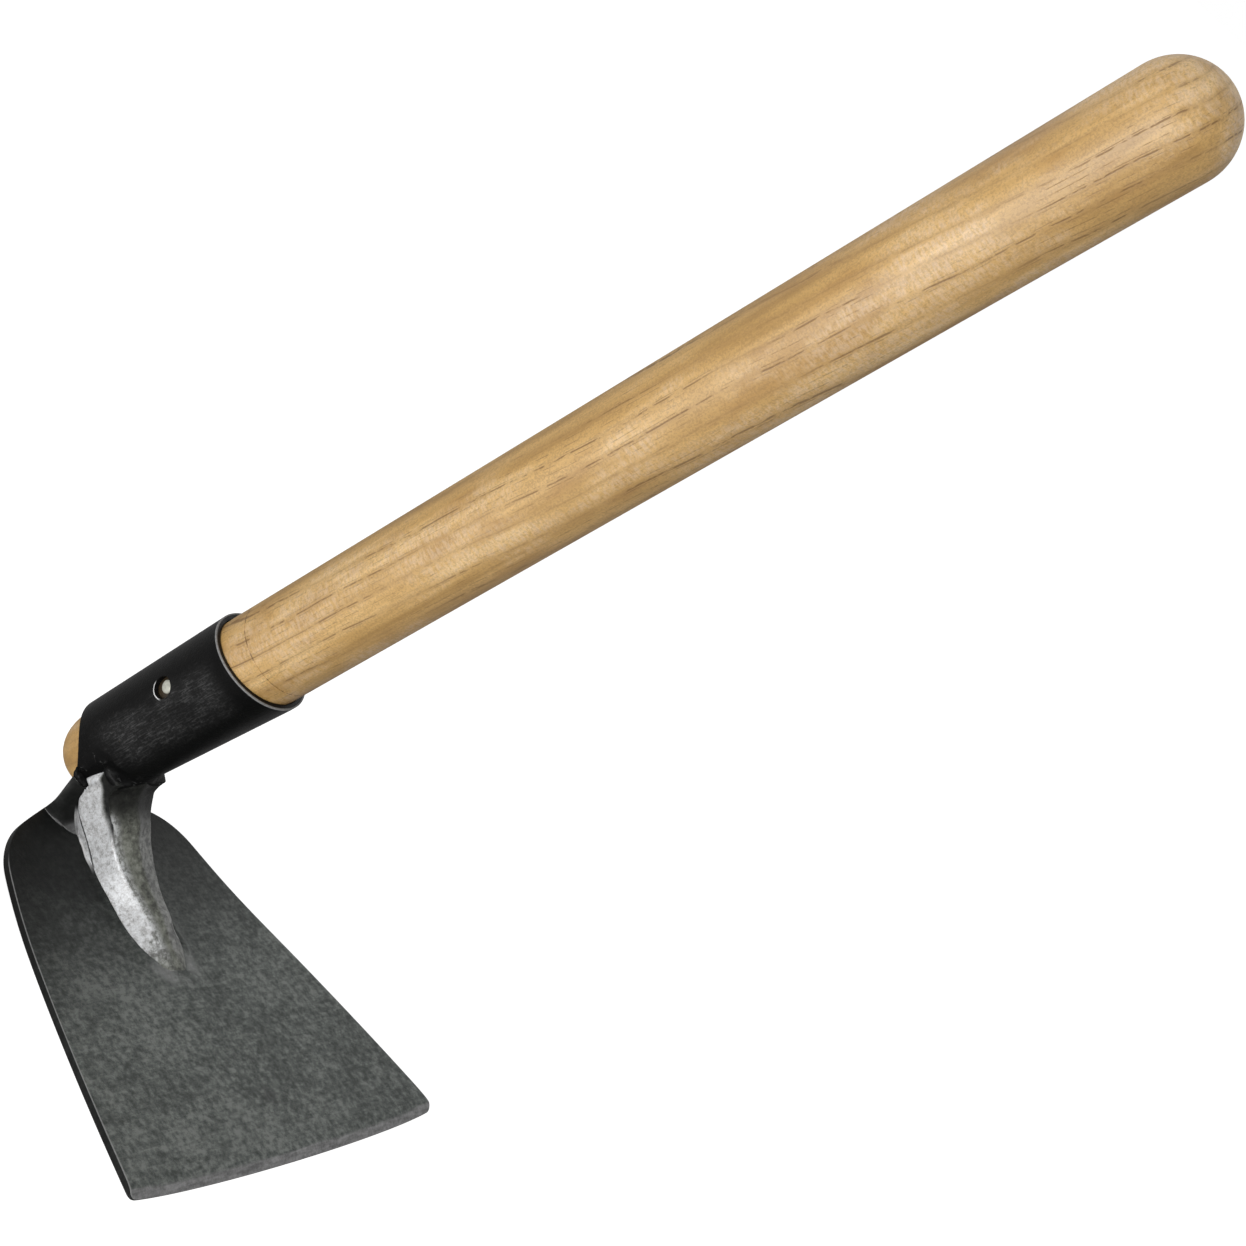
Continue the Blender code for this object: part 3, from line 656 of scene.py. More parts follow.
def cut_rear(piece):
    sweep_length = -SOCKET_LENGTH - SWEEP_REAR
    deselect()
    bpy.ops.mesh.primitive_cylinder_add(vertices=SWEEP_SIDES, radius=1.0, depth=BLOCK,
                                        location=(SWEEP_REAR, 0.0, SWEEP_TOP),
                                        rotation=(QUARTER, 0.0, 0.0),
                                        scale=(sweep_length, SWEEP_HEIGHT, 1.0))
    cut_with_active(piece)
    for front, top in ((-SOCKET_LENGTH, SWEEP_TOP + BLOCK), (JOINT_STATION, OVERLAP)):
        deselect()
        middle = (front - BLOCK / 2, 0.0, top - BLOCK / 2)
        bpy.ops.mesh.primitive_cube_add(size=BLOCK, location=middle)
        cut_with_active(piece)


def nail_line(reach):
    """A point on the nail's line, at a distance from the bore's centre."""
    outward = Vector((0.0, -math.cos(NAIL_ANGLE), math.sin(NAIL_ANGLE)))
    return Vector((NAIL_STATION, 0.0, seat_height(NAIL_STATION))) + outward * reach


def cut_nail_hole(piece):
    deselect()
    bpy.ops.mesh.primitive_cylinder_add(vertices=HOLE_SIDES, radius=NAIL_HOLE_RADIUS,
                                        depth=HOLE_DEPTH,
                                        location=nail_line(socket_radius(NAIL_STATION)),
                                        rotation=(QUARTER - NAIL_ANGLE, 0.0, 0.0))
    cut_with_active(piece)


socket = tube()
cut_mouth(socket)
use_modifier(socket, "SOLIDIFY", thickness=SOCKET_WALL, offset=-1.0)
cut_rear(socket)
cut_nail_hole(socket)
use_modifier(socket, "BEVEL", width=RIM_ROUND, segments=3,
             limit_method="ANGLE", angle_limit=RIM_ANGLE)
lay_in_place(socket)
soften(socket, 30)
print("socket faces:", len(socket.data.polygons))

# %% [markdown]
# ## Socket: the finish
#
# The tube is painted satin black. Black paint is nearly all reflection, so its colour is
# very dark and its look comes from gloss. The side that lies on benches has a haze of fine
# light scratches. The outer edge of the mouth carries a thin light line, and the near rim of
# the nail's hole a painted highlight. Both lines are drawn from the same sizes that cut
# those edges.

# %% Socket: finish
LIGHT_LINE = 0.0007                 # width of the light line on a rim
SCRATCH_TURN = math.radians(38)     # the scratches run this far off the tube's length
HAZE_ACROSS = (-0.013, -0.008)      # the haze of scratches ends between these two, across,
HAZE_BOTTOM = (-0.0165, -0.009)     # begins here at the bottom
HAZE_TOP = (-0.001, 0.007)          # and ends here at the top,
HAZE_REAR = (-0.068, -0.052)        # and so along the tube
HAZE_FRONT = (-0.012, -0.002)


def mouth_line_and_hole_highlight(along, across, up, fine):
    """A light line on the outer edge of the mouth, and a painted highlight on the near rim of the
    nail's hole.
    """
    before_mouth = along * math.cos(MOUTH_SLANT) + up * math.sin(MOUTH_SLANT)
    from_axis = (across ** 2.0 + up ** 2.0) ** 0.5
    outer = from_axis.rise(SOCKET_MOUTH_RADIUS - LIGHT_LINE,
                           SOCKET_MOUTH_RADIUS - LIGHT_LINE * 0.5)
    mouth = before_mouth.rise(-LIGHT_LINE, -LIGHT_LINE * 0.5) * outer * (fine + 0.25)
    from_nail, ahead = from_nail_line(along, across, up)
    off_hole = from_nail - NAIL_HOLE_RADIUS
    rim = off_hole.rise(0.00004, 0.00014) * off_hole.fall(0.0004, 0.0006)
    return mouth, rim * ahead.fall(-0.0034, -0.0020) * across.fall(*NAIL_SIDE)


def black_finish():
    black = Finish("satin_black")
    point = tool_point(black)
    along, across, up = split(point)
    grime = cloud(point, 70.0, 5.0, 0.6)
    fine = cloud(point, 1100.0, 4.0, 0.7)
    hair = black.node("ShaderNodeMapping", inputs={
        "Vector": point, "Rotation": (0.0, SCRATCH_TURN, 0.0), "Scale": (260.0, 900.0, 2600.0)})
    scratch = cloud(hair, 1.0, 2.0, 0.6, 0.3)
    beside = across.fall(*HAZE_ACROSS) * up.rise(*HAZE_BOTTOM) * up.fall(*HAZE_TOP)
    reach = along.rise(*HAZE_REAR) * along.fall(*HAZE_FRONT)
    haze = beside * reach * (0.35 + grime.rise(0.30, 0.66) * 0.65)
    scuffs = (scratch.rise(0.50, 0.66) * 0.7 + fine.rise(0.48, 0.68) * 0.5) * haze
    veil = haze * 0.10 + fine.rise(0.56, 0.72) * grime.rise(0.42, 0.6) * 0.12
    colour = blend((scuffs * 0.42 + veil).least(1.0), shade(9), shade(104))
    mouth, hole_highlight = mouth_line_and_hole_highlight(along, across, up, fine)
    light_edge_lines = blend((mouth * 0.9).least(1.0), colour, shade(168))
    # Painted highlight: a light crescent on the near rim of the nail's hole.
    rimmed = blend(hole_highlight, light_edge_lines, shade(215))
    return black.surface(Base_Color=rimmed, Roughness=0.30 + grime * 0.16 + scuffs * 0.25,
                         Specular_IOR_Level=0.16, Normal=bump(fine * 0.5 + grime, 0.00022))


dress(socket, "rolled_socket", "socket", black_finish())

# %% [markdown]
# ## Tang
#
# The tang is a bar forged into the corner. On the real hoe its faces meet in soft, slightly
# wavy edges. The construction node has flat facets with sharp edges, so its copy is
# remeshed into small even faces and smoothed, which rounds every edge alike. Smoothing
# also pulls in the edges where it touches the blade and the socket. So those edges are
# first pushed a little way into their neighbours, where nobody sees what happens to them.
# The smith also blended the corners on either side of the ridge back under the tube. They
# are laid back by an amount that grows from the ridge outwards.

# %% Tang: helpers
TOUCH = 0.0006                      # nearer than this, the tang touches its neighbour
SINK = 0.0012                       # how far its edge is pushed into that neighbour


def surface_of(piece):
    """A search tree that finds the nearest point on a piece."""
    mesh = piece.data
    faces = [tuple(face.vertices) for face in mesh.polygons]
    return BVHTree.FromPolygons([vertex.co for vertex in mesh.vertices], faces)


def sink_into(piece, other):
    tree = surface_of(other)
    for vertex in piece.data.vertices:
        _, normal, _, distance = tree.find_nearest(vertex.co, TOUCH)
        if distance is not None:
            vertex.co -= normal * SINK


def wave(piece, size, depth):
    """Uneven the surface with soft noise, as a hammer and a grinder leave it."""
    texture = bpy.data.textures.new(piece.name + "_wave", "CLOUDS")
    texture.noise_scale = size
    use_modifier(piece, "DISPLACE", texture=texture, strength=depth, mid_level=0.5,
                 texture_coords="LOCAL")


def melt(piece, voxel, rounds, grow):
    """Small even faces, smoothed, and grown back by what smoothing took off."""
    use_modifier(piece, "REMESH", mode="VOXEL", voxel_size=voxel)
    use_modifier(piece, "SMOOTH", factor=0.5, iterations=rounds)
    use_modifier(piece, "DISPLACE", strength=grow, mid_level=0.0)


def smooth_step(value, low, high):
    share = min(max((value - low) / (high - low), 0.0), 1.0)
    return share * share * (3.0 - 2.0 * share)


print("tang helpers are ready")


# %% Tang: shape
TANG_VOXEL = 0.00042
TANG_SMOOTHING = 14
TANG_GROW = 0.0003
TANG_WAVE = (0.009, 0.0003)         # size and depth of its unevenness
CORNER_SETBACK = 0.0042             # how far its corners under the tube lie back
CORNER_ACROSS = (0.0, 0.0075)       # from nothing at the ridge to the full amount
CORNER_TOP = (0.004, 0.0115)        # down from the handle's axis, where it begins
CORNER_BOTTOM = (0.0165, 0.0285)    # and where it has ended
CORNER_ALONG = (-0.0745, -0.0640)


def corner_setback(place):
    """How far back the tang's surface is laid at a point, in tool coordinates."""
    beside = smooth_step(abs(place.y), *CORNER_ACROSS)
    level = smooth_step(-place.z, *CORNER_TOP) * (1.0 - smooth_step(-place.z, *CORNER_BOTTOM))
    return CORNER_SETBACK * beside * level * smooth_step(place.x, *CORNER_ALONG)


def set_corners_back(piece):
    """Lay the corners beside the ridge back under the tube, as the smith blended them."""
    to_tool = TOOL.inverted()
    for vertex in piece.data.vertices:
        place = to_tool @ vertex.co
        place.x -= corner_setback(place)
        vertex.co = TOOL @ place


tang = copy_of("tang")
for neighbour in ("blade_plate", "socket"):
    sink_into(tang, frame["nodes"][neighbour])
melt(tang, TANG_VOXEL, TANG_SMOOTHING, TANG_GROW)
wave(tang, *TANG_WAVE)
set_corners_back(tang)
print("tang faces:", len(tang.data.polygons))

# %% [markdown]
# ## Blade
#
# The blade is a forged sheet. Its construction node already has the outline, the dished
# neck and the ground band, so a copy of it is worked on: triangles become four-sided
# faces, and the sharp edges get a small bevel that will catch the light. The middle rows
# of that bevel are remembered for the finish, which paints them light, partly as rubbed
# steel and partly as a painted highlight. One subdivision surface then rounds the dish,
# and the part beside the tang is divided finely enough for its fillet.

# %% Blade: shape
EDGE_ROUND = 0.00027
SHARP = math.radians(50)            # edges sharper than this get the bevel
FINE_REACH = 0.009                  # the sheet is divided finely this near to the tang


def mark_selected(piece, name):
    """Keep the selected vertices as a number from 0 to 1 on the mesh."""
    leave()
    marks = piece.data.attributes.new(name, "FLOAT", "POINT")
    for index, vertex in enumerate(piece.data.vertices):
        marks.data[index].value = 1.0 if vertex.select else 0.0


def select_near(piece, tree, reach):
    """Select the faces of a piece that lie near to another surface."""
    edit(piece, "FACE", "DESELECT")
    leave()
    for face in piece.data.polygons:
        _, _, _, distance = tree.find_nearest(face.center, reach)
        face.select = distance is not None
    bpy.ops.object.mode_set(mode="EDIT")


blade = copy_of("blade_plate")
edit(blade, "EDGE")
bpy.ops.mesh.tris_convert_to_quads(face_threshold=math.radians(30),
                                   shape_threshold=math.radians(60))
bpy.ops.mesh.select_all(action="DESELECT")
bpy.ops.mesh.edges_select_sharp(sharpness=SHARP)
bpy.ops.mesh.bevel(offset=EDGE_ROUND, segments=4, affect="EDGES")
bpy.ops.mesh.select_less()
mark_selected(blade, "rubbed")
use_modifier(blade, "SUBSURF", levels=2, render_levels=2)
tang_surface = surface_of(tang)
select_near(blade, tang_surface, FINE_REACH)
bpy.ops.mesh.subdivide(number_cuts=1)
leave()
print("blade faces:", len(blade.data.polygons))

# %% [markdown]
# ## The sheet swells round the tang
#
# Every vertex of the blade's front can ask how near the tang is. The nearer it is, the
# higher it is raised, which gives a fillet all round the foot. Below the tip the sheet
# keeps a low ridge that runs out towards the cutting edge. The nearness is kept on the
# mesh as well, because the finish beside the tang is lighter and rougher, with a painted
# shadow in the crack and a painted highlight on the fillet.

# %% Blade: swelling and ridge
SWELL_REACH = 0.0042                # how far from the tang the sheet is raised
SWELL_HEIGHT = 0.0012
RIDGE_START = 0.000                 # along the floor, where the ridge rises
RIDGE_END = 0.048                   # and where it has run out
RIDGE_HEIGHT = 0.0006
RIDGE_WIDTH = (0.0035, 0.0075)      # at its start and at its end
RIDGE_DRIFT = 0.006                 # how far it strays to one side
LOOKS_UP = (0.2, 0.75)              # from which faces are raised, and raised in full


def between(pair, share):
    return pair[0] + (pair[1] - pair[0]) * share


def ridge_lift(place):
    share = (place.x - RIDGE_START) / (RIDGE_END - RIDGE_START)
    if not 0.0 < share < 1.0:
        return 0.0
    beside = (place.y + RIDGE_DRIFT * share) / between(RIDGE_WIDTH, share)
    return RIDGE_HEIGHT * math.sin(math.pi * math.sqrt(share)) * math.exp(-beside ** 2)


def raise_sheet(piece, tree):
    """Lift the front of the sheet where the tang is near, and keep the nearness."""
    mesh = piece.data
    near = mesh.attributes.new("near_tang", "FLOAT", "POINT")
    normals = [vertex.normal.copy() for vertex in mesh.vertices]
    for index, (vertex, normal) in enumerate(zip(mesh.vertices, normals)):
        _, _, _, distance = tree.find_nearest(vertex.co, SWELL_REACH)
        close = 0.0 if distance is None else 1.0 - distance / SWELL_REACH
        near.data[index].value = close
        lift = max(SWELL_HEIGHT * close ** 2, ridge_lift(vertex.co))
        vertex.co += normal * lift * smooth_step(normal.z, *LOOKS_UP)


raise_sheet(blade, tang_surface)
soften(blade, 32)
print("blade box, mm:", [round(1000 * value, 1) for value in blade.dimensions])

# %% [markdown]
# ## Weld along the top of the tang
#
# The weld that holds the tang under the socket was ground down and painted over, so on the
# real hoe the socket seems to flow into the tang. A low strip along the tang's top edge
# gives that flow, in the shape of a fillet. The fillet is found from two distances, to the
# tube and to the tang: joined so that they run into each other, they come to zero on its
# surface. A grid is the start. Its rows follow the edge, its columns cross it, and each of
# its points is set down on the fillet. Its rim dives into the metal all round. Given a
# thickness, remeshed and smoothed, the strip leaves no step on either neighbour.

# %% Saddle weld: its line
TANG_LIP_ANGLE = math.radians(20.0) # top of the tang, below the socket's side
TANG_LIP_FRONT = 0.0600             # mouth to the front of the tang's top
TANG_LIP_REAR = 0.0745              # mouth to its rear
LIP_CORNER = 0.0048                 # how far back its front corners are rounded
LIP_SQUARENESS = 3.0
LIP_STEPS = 40
UNDERNEATH = QUARTER                # the line's lowest place, below the socket's side


def lip_line():
    """The tang's top edge, in (station, angle below the +Y side), from rear to rear."""
    corner = -TANG_LIP_FRONT - LIP_CORNER
    half = [(-TANG_LIP_REAR + (TANG_LIP_REAR + corner) * step / LIP_STEPS, TANG_LIP_ANGLE)
            for step in range(LIP_STEPS)]
    for step in range(LIP_STEPS + 1):
        turn = QUARTER * step / LIP_STEPS
        around = math.cos(turn) ** (2.0 / LIP_SQUARENESS) if step < LIP_STEPS else 0.0
        ahead = math.sin(turn) ** (2.0 / LIP_SQUARENESS)
        angle = UNDERNEATH - (UNDERNEATH - TANG_LIP_ANGLE) * around
        half.append((corner + LIP_CORNER * ahead, angle))
    return half + [(station, math.pi - angle) for station, angle in reversed(half[:-1])]


def on_socket(point, height):
    """The point over or under the socket's outer surface, at a height above it."""
    centre = Vector((point.x, 0.0, seat_height(point.x)))
    return centre + (point - centre).normalized() * (socket_radius(point.x) + height)


def evenly(points, count):
    """Points at equal steps along a line of points."""
    lengths = [0.0]
    for before, after in zip(points, points[1:]):
        lengths.append(lengths[-1] + (after - before).length)
    result = []
    index = 0
    for step in range(count):
        target = lengths[-1] * step / (count - 1)
        while index < len(points) - 2 and lengths[index + 1] < target:
            index += 1
        share = (target - lengths[index]) / max(lengths[index + 1] - lengths[index], 1e-9)
        result.append(points[index].lerp(points[index + 1], share))
    return result


# %% Saddle weld: how high the fillet stands
SADDLE_TOP = 0.0036                 # above the tube, where the fillet has met the tang
SADDLE_STEP = 0.00025
FACES_AWAY = -0.8                   # beyond this, a point lies inside the tang


def merged(first, second, size):
    """Distance from two surfaces joined by a fillet, from the distances to each."""
    overlap = max(size - abs(first - second), 0.0) / size
    return min(first, second) - size * overlap ** 2 / 4.0


def fillet_height(point, size):
    """Height above the tube of the fillet between tube and tang, sought from above."""
    height = SADDLE_TOP
    gap_above = 1.0
    while height > 0.0:
        place = TOOL @ on_socket(point, height)
        nearest, normal, _, _ = tang_surface.find_nearest(place)
        off_tang = (place - nearest).length
        if (place - nearest).dot(normal) < FACES_AWAY * off_tang:
            off_tang = -off_tang
        gap = merged(height, off_tang, size)
        if gap <= 0.0:
            return height - SADDLE_STEP * gap / (gap_above - gap)
        gap_above = gap
        height -= SADDLE_STEP
    return 0.0


# %% Saddle weld: its points
SADDLE_ROWS = 120
SADDLE_COLUMNS = 26
SADDLE_AHEAD = (0.0042, 0.0056)     # its reach on the socket, at the sides and in front
SADDLE_BEHIND = (0.0036, 0.0040)    # and over the tang
FILLET = (0.0022, 0.0034)           # size of its fillet, at the sides and in front
SADDLE_ROOT = 0.0008                # how deep its edges lie in the metal
SADDLE_END = 0.0035                 # length over which its ends run out
SADDLE_UNDER = (0.40, 0.82)         # from side to front, by how much the tube faces down
DIVE_AHEAD = (0.7, 0.2)             # its rim on the tube: roots deep, and share of its width
DIVE_BEHIND = (2.0, 0.84)           # and its rim in the tang


def saddle_line():
    """The tang's top edge on the tube, in equal steps, and its length."""
    line = []
    for station, angle in lip_line():
        beside = (station, math.cos(angle), seat_height(station) - math.sin(angle))
        line.append(on_socket(Vector(beside), 0.0))
    line = evenly(line, SADDLE_ROWS + 1)
    return line, sum((after - before).length for before, after in zip(line, line[1:]))


def saddle_place(line, length, row, share):
    """A point of the strip, by its row along the line and its share of the width."""
    along = (line[min(row + 1, SADDLE_ROWS)] - line[max(row - 1, 0)]).normalized()
    outward = Vector((0.0, line[row].y, line[row].z - seat_height(line[row].x))).normalized()
    behind = outward.cross(along).normalized()
    run = length * min(row, SADDLE_ROWS - row) / SADDLE_ROWS
    end_share = smooth_step(run, 0.0, SADDLE_END)
    front = smooth_step(-outward.z, *SADDLE_UNDER)
    ahead = between(SADDLE_AHEAD, front) * (0.2 + 0.8 * end_share)
    across = between(SADDLE_BEHIND, front) * share - ahead * (1.0 - share)
    place = line[row] + behind * across
    place.x -= corner_setback(line[row])
    place = on_socket(place, 0.0)
    sunk = DIVE_AHEAD[0] * (1.0 - smooth_step(share, 0.0, DIVE_AHEAD[1]))
    sunk += DIVE_BEHIND[0] * smooth_step(share, DIVE_BEHIND[1], 1.0)
    sunk += 1.0 - end_share
    height = fillet_height(place, between(FILLET, front))
    return on_socket(place, height - SADDLE_ROOT * sunk)


print("saddle line, mm:", round(1000 * saddle_line()[1], 1))


# %% Saddle weld: shape
SADDLE_VOXEL = 0.0003
SADDLE_SMOOTHING = 30
SADDLE_GROW = 0.0001
SADDLE_WAVE = (0.006, 0.00012)


def saddle_strip():
    line, length = saddle_line()
    deselect()
    bpy.ops.mesh.primitive_grid_add(x_subdivisions=SADDLE_ROWS,
                                    y_subdivisions=SADDLE_COLUMNS, size=1.0)
    strip = bpy.context.object
    for vertex in strip.data.vertices:
        row = round((vertex.co.x + 0.5) * SADDLE_ROWS)
        vertex.co = saddle_place(line, length, row, vertex.co.y + 0.5)
    return strip


saddle = saddle_strip()
use_modifier(saddle, "SOLIDIFY", thickness=2.0 * SADDLE_ROOT, offset=-1.0)
lay_in_place(saddle)
melt(saddle, SADDLE_VOXEL, SADDLE_SMOOTHING, SADDLE_GROW)
wave(saddle, *SADDLE_WAVE)
soften(saddle, 60)
print("saddle strip faces:", len(saddle.data.polygons))

# %% [markdown]
# ## Weld behind the socket
#
# The second bead closes the butt joint between the socket and the neck, and was left as it
# froze: uneven, with ripples across it. The copy of its node is remeshed finely and
# roughened with noise of the ripples' size.

# %% Butt bead: shape
BEAD_VOXEL = 0.0003
BEAD_SMOOTHING = 3
BEAD_GROW = 0.00035
RIPPLES = (0.0016, 0.0005)          # size and depth

butt_bead = copy_of("neck_weld")
melt(butt_bead, BEAD_VOXEL, BEAD_SMOOTHING, BEAD_GROW)
wave(butt_bead, *RIPPLES)
soften(butt_bead, 60)
print("butt bead faces:", len(butt_bead.data.polygons))

# %% [markdown]
# ## Nail
#
# A round wire nail with a low domed head and a pale plated finish. It stands off centre in
# its hole, so part of the wood shows beside it. It is turned like the handle, but about
# its own line, so it is drawn along X and then rotated and moved to that line.

# %% Nail: shape
NAIL_OFFSET = 0.0010                # nail's line from the hole's, towards the mouth
NAIL_HEAD_RADIUS = 0.0023
NAIL_HEAD_HEIGHT = 0.0011
NAIL_SHANK_RADIUS = 0.0012
NAIL_LENGTH = 0.024
NAIL_POINT = 0.004
NAIL_SIDES = 40


def nail_rings():
    """A point, a shank, and a head with a flat seat and a dome."""
    seat = wood_radius(NAIL_STATION) + SEAT_GAP
    tip = seat - NAIL_LENGTH
    rings = [(tip, TIP_RADIUS), (tip + NAIL_POINT, NAIL_SHANK_RADIUS), (seat, NAIL_SHANK_RADIUS),
             (seat, NAIL_HEAD_RADIUS * 0.96), (seat + NAIL_HEAD_HEIGHT * 0.25, NAIL_HEAD_RADIUS)]
    for step in range(6):
        angle = math.radians(15 * step)
        rings.append((seat + NAIL_HEAD_HEIGHT * (0.45 + 0.55 * math.sin(angle)),
                      NAIL_HEAD_RADIUS * math.cos(angle)))
    return [(reach, radius, 0.0) for reach, radius in rings]


nail = turned(nail_rings(), NAIL_SIDES)
nail.rotation_euler = (0.0, 0.0, -QUARTER)
apply_place()
nail.rotation_euler = (-NAIL_ANGLE, 0.0, 0.0)
nail.location = nail_line(0.0) + Vector((NAIL_OFFSET, 0.0, 0.0))
lay_in_place(nail)
soften(nail, 40)
print("nail box:", [round(1000 * value, 1) for value in nail.dimensions])

# %% [markdown]
# ## Blade: the finish
#
# The blade wears dark forge scale under a clear lacquer: grey green and mottled over most
# of the sheet, with a bare ground band along the cutting edge. Painted shade darkens it
# nearly to black towards the left shoulder, and the thin bright lines on the edges are
# partly rubbed steel and partly a painted highlight. Which way a face looks tells the
# ground band and the dark sides from the sheet's front. The marks beside the tang use the
# nearness that the mesh carries.

# %% Blade: forge scale and painted shade
SMUDGE = (0.0583, 0.0038)           # a dark spot on the scale, down the blade and across
SHOULDER_SHADE_CLEARS = (-0.052, 0.022)      # down the blade, where the painted shade over the scale clears to grey
SHOULDER_SHADE_SLANT = 0.18                  # its border runs lower on the left


def scale_and_shoulder_shade(down, across, mottle, broad, texture):
    """Mottled grey green scale, darkened nearly to black near the left shoulder by painted shade.
    """
    base = ramp(texture, (0.42, shade(68, 1.04, 0.96, red=0.93)),
                (0.50, shade(98, 1.03, 0.96, red=0.93)), (0.58, shade(130, 1.03, 0.97, red=0.97)))
    off_smudge = ((down - SMUDGE[0]) ** 2.0 + (across - SMUDGE[1]) ** 2.0) ** 0.5
    smudge = (off_smudge + mottle.swing(0.010)).fall(0.0008, 0.0045)
    spotted = blend(smudge * 0.55, base, shade(58))
    # Painted shade: the scale is darkened nearly to black towards the left shoulder.
    out_of_shade = (down + across * SHOULDER_SHADE_SLANT + broad * 0.02 - 0.01).rise(*SHOULDER_SHADE_CLEARS)
    return blend((1.0 - out_of_shade) * 0.93, spotted, shade(20, 1.0, 0.94))


# %% Blade: beside the tang
NECK_SIDE = (-0.0185, -0.0145)      # the light contour of the neck, across
NECK_FROM = (0.012, 0.018)          # and up the neck
NECK_TO = (0.022, 0.026)


def beside_tang(scale, near, place, mottle, grain):
    """A light fillet at the tip, a painted shadow in the crack above it and a painted highlight
    on the strip beside that.
    """
    down, across, up = place
    tip = near.rise(0.05, 0.8) * down.rise(-0.004, 0.006) * mottle.rise(0.40, 0.62)
    filleted = blend(tip * 0.45 * (0.7 + grain * 0.6), scale, shade(170))
    # Painted shadow in the crack between the sheet and the tang.
    crack_shadow = near.rise(0.86, 0.97) * down.fall(-0.040, -0.030)
    crack_shaded = blend(crack_shadow * 0.85, filleted, shade(10))
    # Painted highlight on the strip of fillet beside the flank, where the sheet curves up to the
    # tang; the neck's contour gets a light line.
    strip = near.rise(0.72, 0.78) * down.fall(-0.044, -0.036) * up.fall(0.012, 0.017)
    contour = across.fall(*NECK_SIDE) * up.rise(*NECK_FROM) * up.fall(*NECK_TO)
    light_marks = strip.most(contour * down.fall(-0.058, -0.053) * 0.15)
    rough = 0.35 + mottle.rise(0.40, 0.56) * 0.65
    return blend(light_marks * rough, crack_shaded, shade(225))


# %% Blade: finish
GROUND_LEANS = (0.25, 0.45)         # a ground face leans to the cutting edge by so much
SIDE_LEANS = (0.35, 0.6)            # and a face on the sheet's side looks up by less


def blade_finish():
    steel = Finish("forged_scale")
    point = world_point(steel)
    down, across, up = split(point)
    face_down, _, face_up = facing(steel)
    mottle = cloud(point, 90.0, 6.0, 0.62)
    grain = cloud(point, 900.0, 4.0, 0.7)
    brushed = streaks(point, (900.0, 120.0, 400.0), 3.0, 0.6)
    broad = cloud(point, 22.0, 3.0, 0.5, 0.4)
    speck = cloud(point, 420.0, 5.0, 0.7)
    texture = mottle * 0.2 + broad * 0.15 + brushed * 0.15 + speck * 0.5
    scale = scale_and_shoulder_shade(down, across, mottle, broad, texture)
    necked = beside_tang(scale, mark(steel, "near_tang"), (down, across, up), mottle, grain)

    ground = face_down.rise(*GROUND_LEANS) * face_up.rise(0.3, 0.6)
    bare = ramp(brushed * 0.4 + grain * 0.3 + speck * 0.3, (0.40, shade(104)), (0.60, shade(154)))
    banded = blend(ground, necked, bare)
    side = face_up.fall(*SIDE_LEANS) * down.rise(-0.060, -0.048)
    sided = blend(side * 0.9, banded, shade(12))
    outline = down.rise(-0.050, -0.042) * (0.3 + grain * 0.8)
    # Light lines on the edges: partly rubbed steel, partly a painted highlight.
    rubbed = mark(steel, "rubbed").rise(0.25, 0.8) * outline
    light_edge_lines = blend(rubbed, sided, shade(150))
    return steel.surface(Base_Color=light_edge_lines, Metallic=0.35, Roughness=0.44 + mottle * 0.14,
                         Specular_IOR_Level=0.3, Normal=bump(mottle * 0.6 + grain * 0.4, 0.00025))


dress(blade, "forged_blade", "blade_plate", blade_finish())

# %% [markdown]
# ## Tang: the finish
#
# The tang is bright and grainy on its ground flanks. Its ridge is dull olive, and grey on
# its right side. The top is still under the socket's paint, which runs down the corners.
# Every border is a straight line or a height, made uneven by noise, because neither a brush
# nor a grinder leaves a clean line.

# %% Tang: colours
RIDGE_LINE = 0.0025                 # across, from the olive side of the ridge to the grey


def tang_colours(across, patch, mottle, fine):
    """The bright flank, the olive of the ridge, and the ridge with its grey right side."""
    bright = ramp(mottle * 0.65 + fine * 0.35, (0.36, shade(146)), (0.47, shade(202)),
                  (0.56, shade(226, 1.0, 1.02, red=0.98)), (0.66, shade(242)))
    olive = ramp(mottle * 0.5 + patch * 0.5, (0.40, shade(78, 1.02, 0.90)),
                 (0.50, shade(112, 1.04, 0.88)), (0.62, shade(150, 1.03, 0.90)))
    grey = ramp(mottle * 0.6 + patch * 0.4, (0.40, shade(110)),
                (0.50, shade(146, 1.02, 0.97)), (0.62, shade(174)))
    right = (across + patch * 0.003 - RIDGE_LINE).rise(-0.0006, 0.0012)
    return bright, olive, blend(right, olive, grey)


# %% Tang: painted corner and the painted shadow in the crack
CORNER_START = 0.0095               # below the handle's axis, where the painted corner starts
CORNER_DROP = 0.0205                # the height over which its front line runs back
CORNER_LINE = (-0.0110, -0.0665)    # how far that is, and from where along the handle
CRACK = (-0.053, -0.57, 0.0142)     # the crack beside the flank, darkened by painted shadow: down, slope, height
CRACK_HALF_WIDTH = 0.00045


def painted_corner(along, up, patch):
    lowered = ((0.0 - up) - CORNER_START) * (1.0 / CORNER_DROP)
    front_line = lowered.most(0.0).least(1.0) ** 0.6 * CORNER_LINE[0] + CORNER_LINE[1]
    ahead = along - front_line + patch.swing(0.006)
    return ahead.rise(-0.0012, 0.0012) * up.rise(-0.032, -0.028)


def crack_shadow_mark(down, across, up, mottle):
    height = (down - CRACK[0]) * CRACK[1] + CRACK[2]
    off_crack = (up - height + mottle.swing(0.0009)) * (1.0 / CRACK_HALF_WIDTH)
    run = down.rise(-0.058, -0.055) * down.fall(-0.040, -0.037) * across.fall(-0.004, 0.0)
    return (1.0 - off_crack ** 2.0).rise(0.0, 0.7) * run


# %% Tang: finish
PAINT_FADES = (-0.0305, -0.0205)    # the socket's paint ends between these heights
LIP_PAINT = (-0.0085, -0.0065)      # above these, the top edge is black on the flanks too
FLANK_FACES = (0.38, 0.62)          # how far a face looks to the left to be flank
OTHER_FACES = (0.50, 0.66)          # and to the right
FLANK_EDGE = (-0.016, 0.131, -0.0062)   # its border with the ridge: down, slope and across


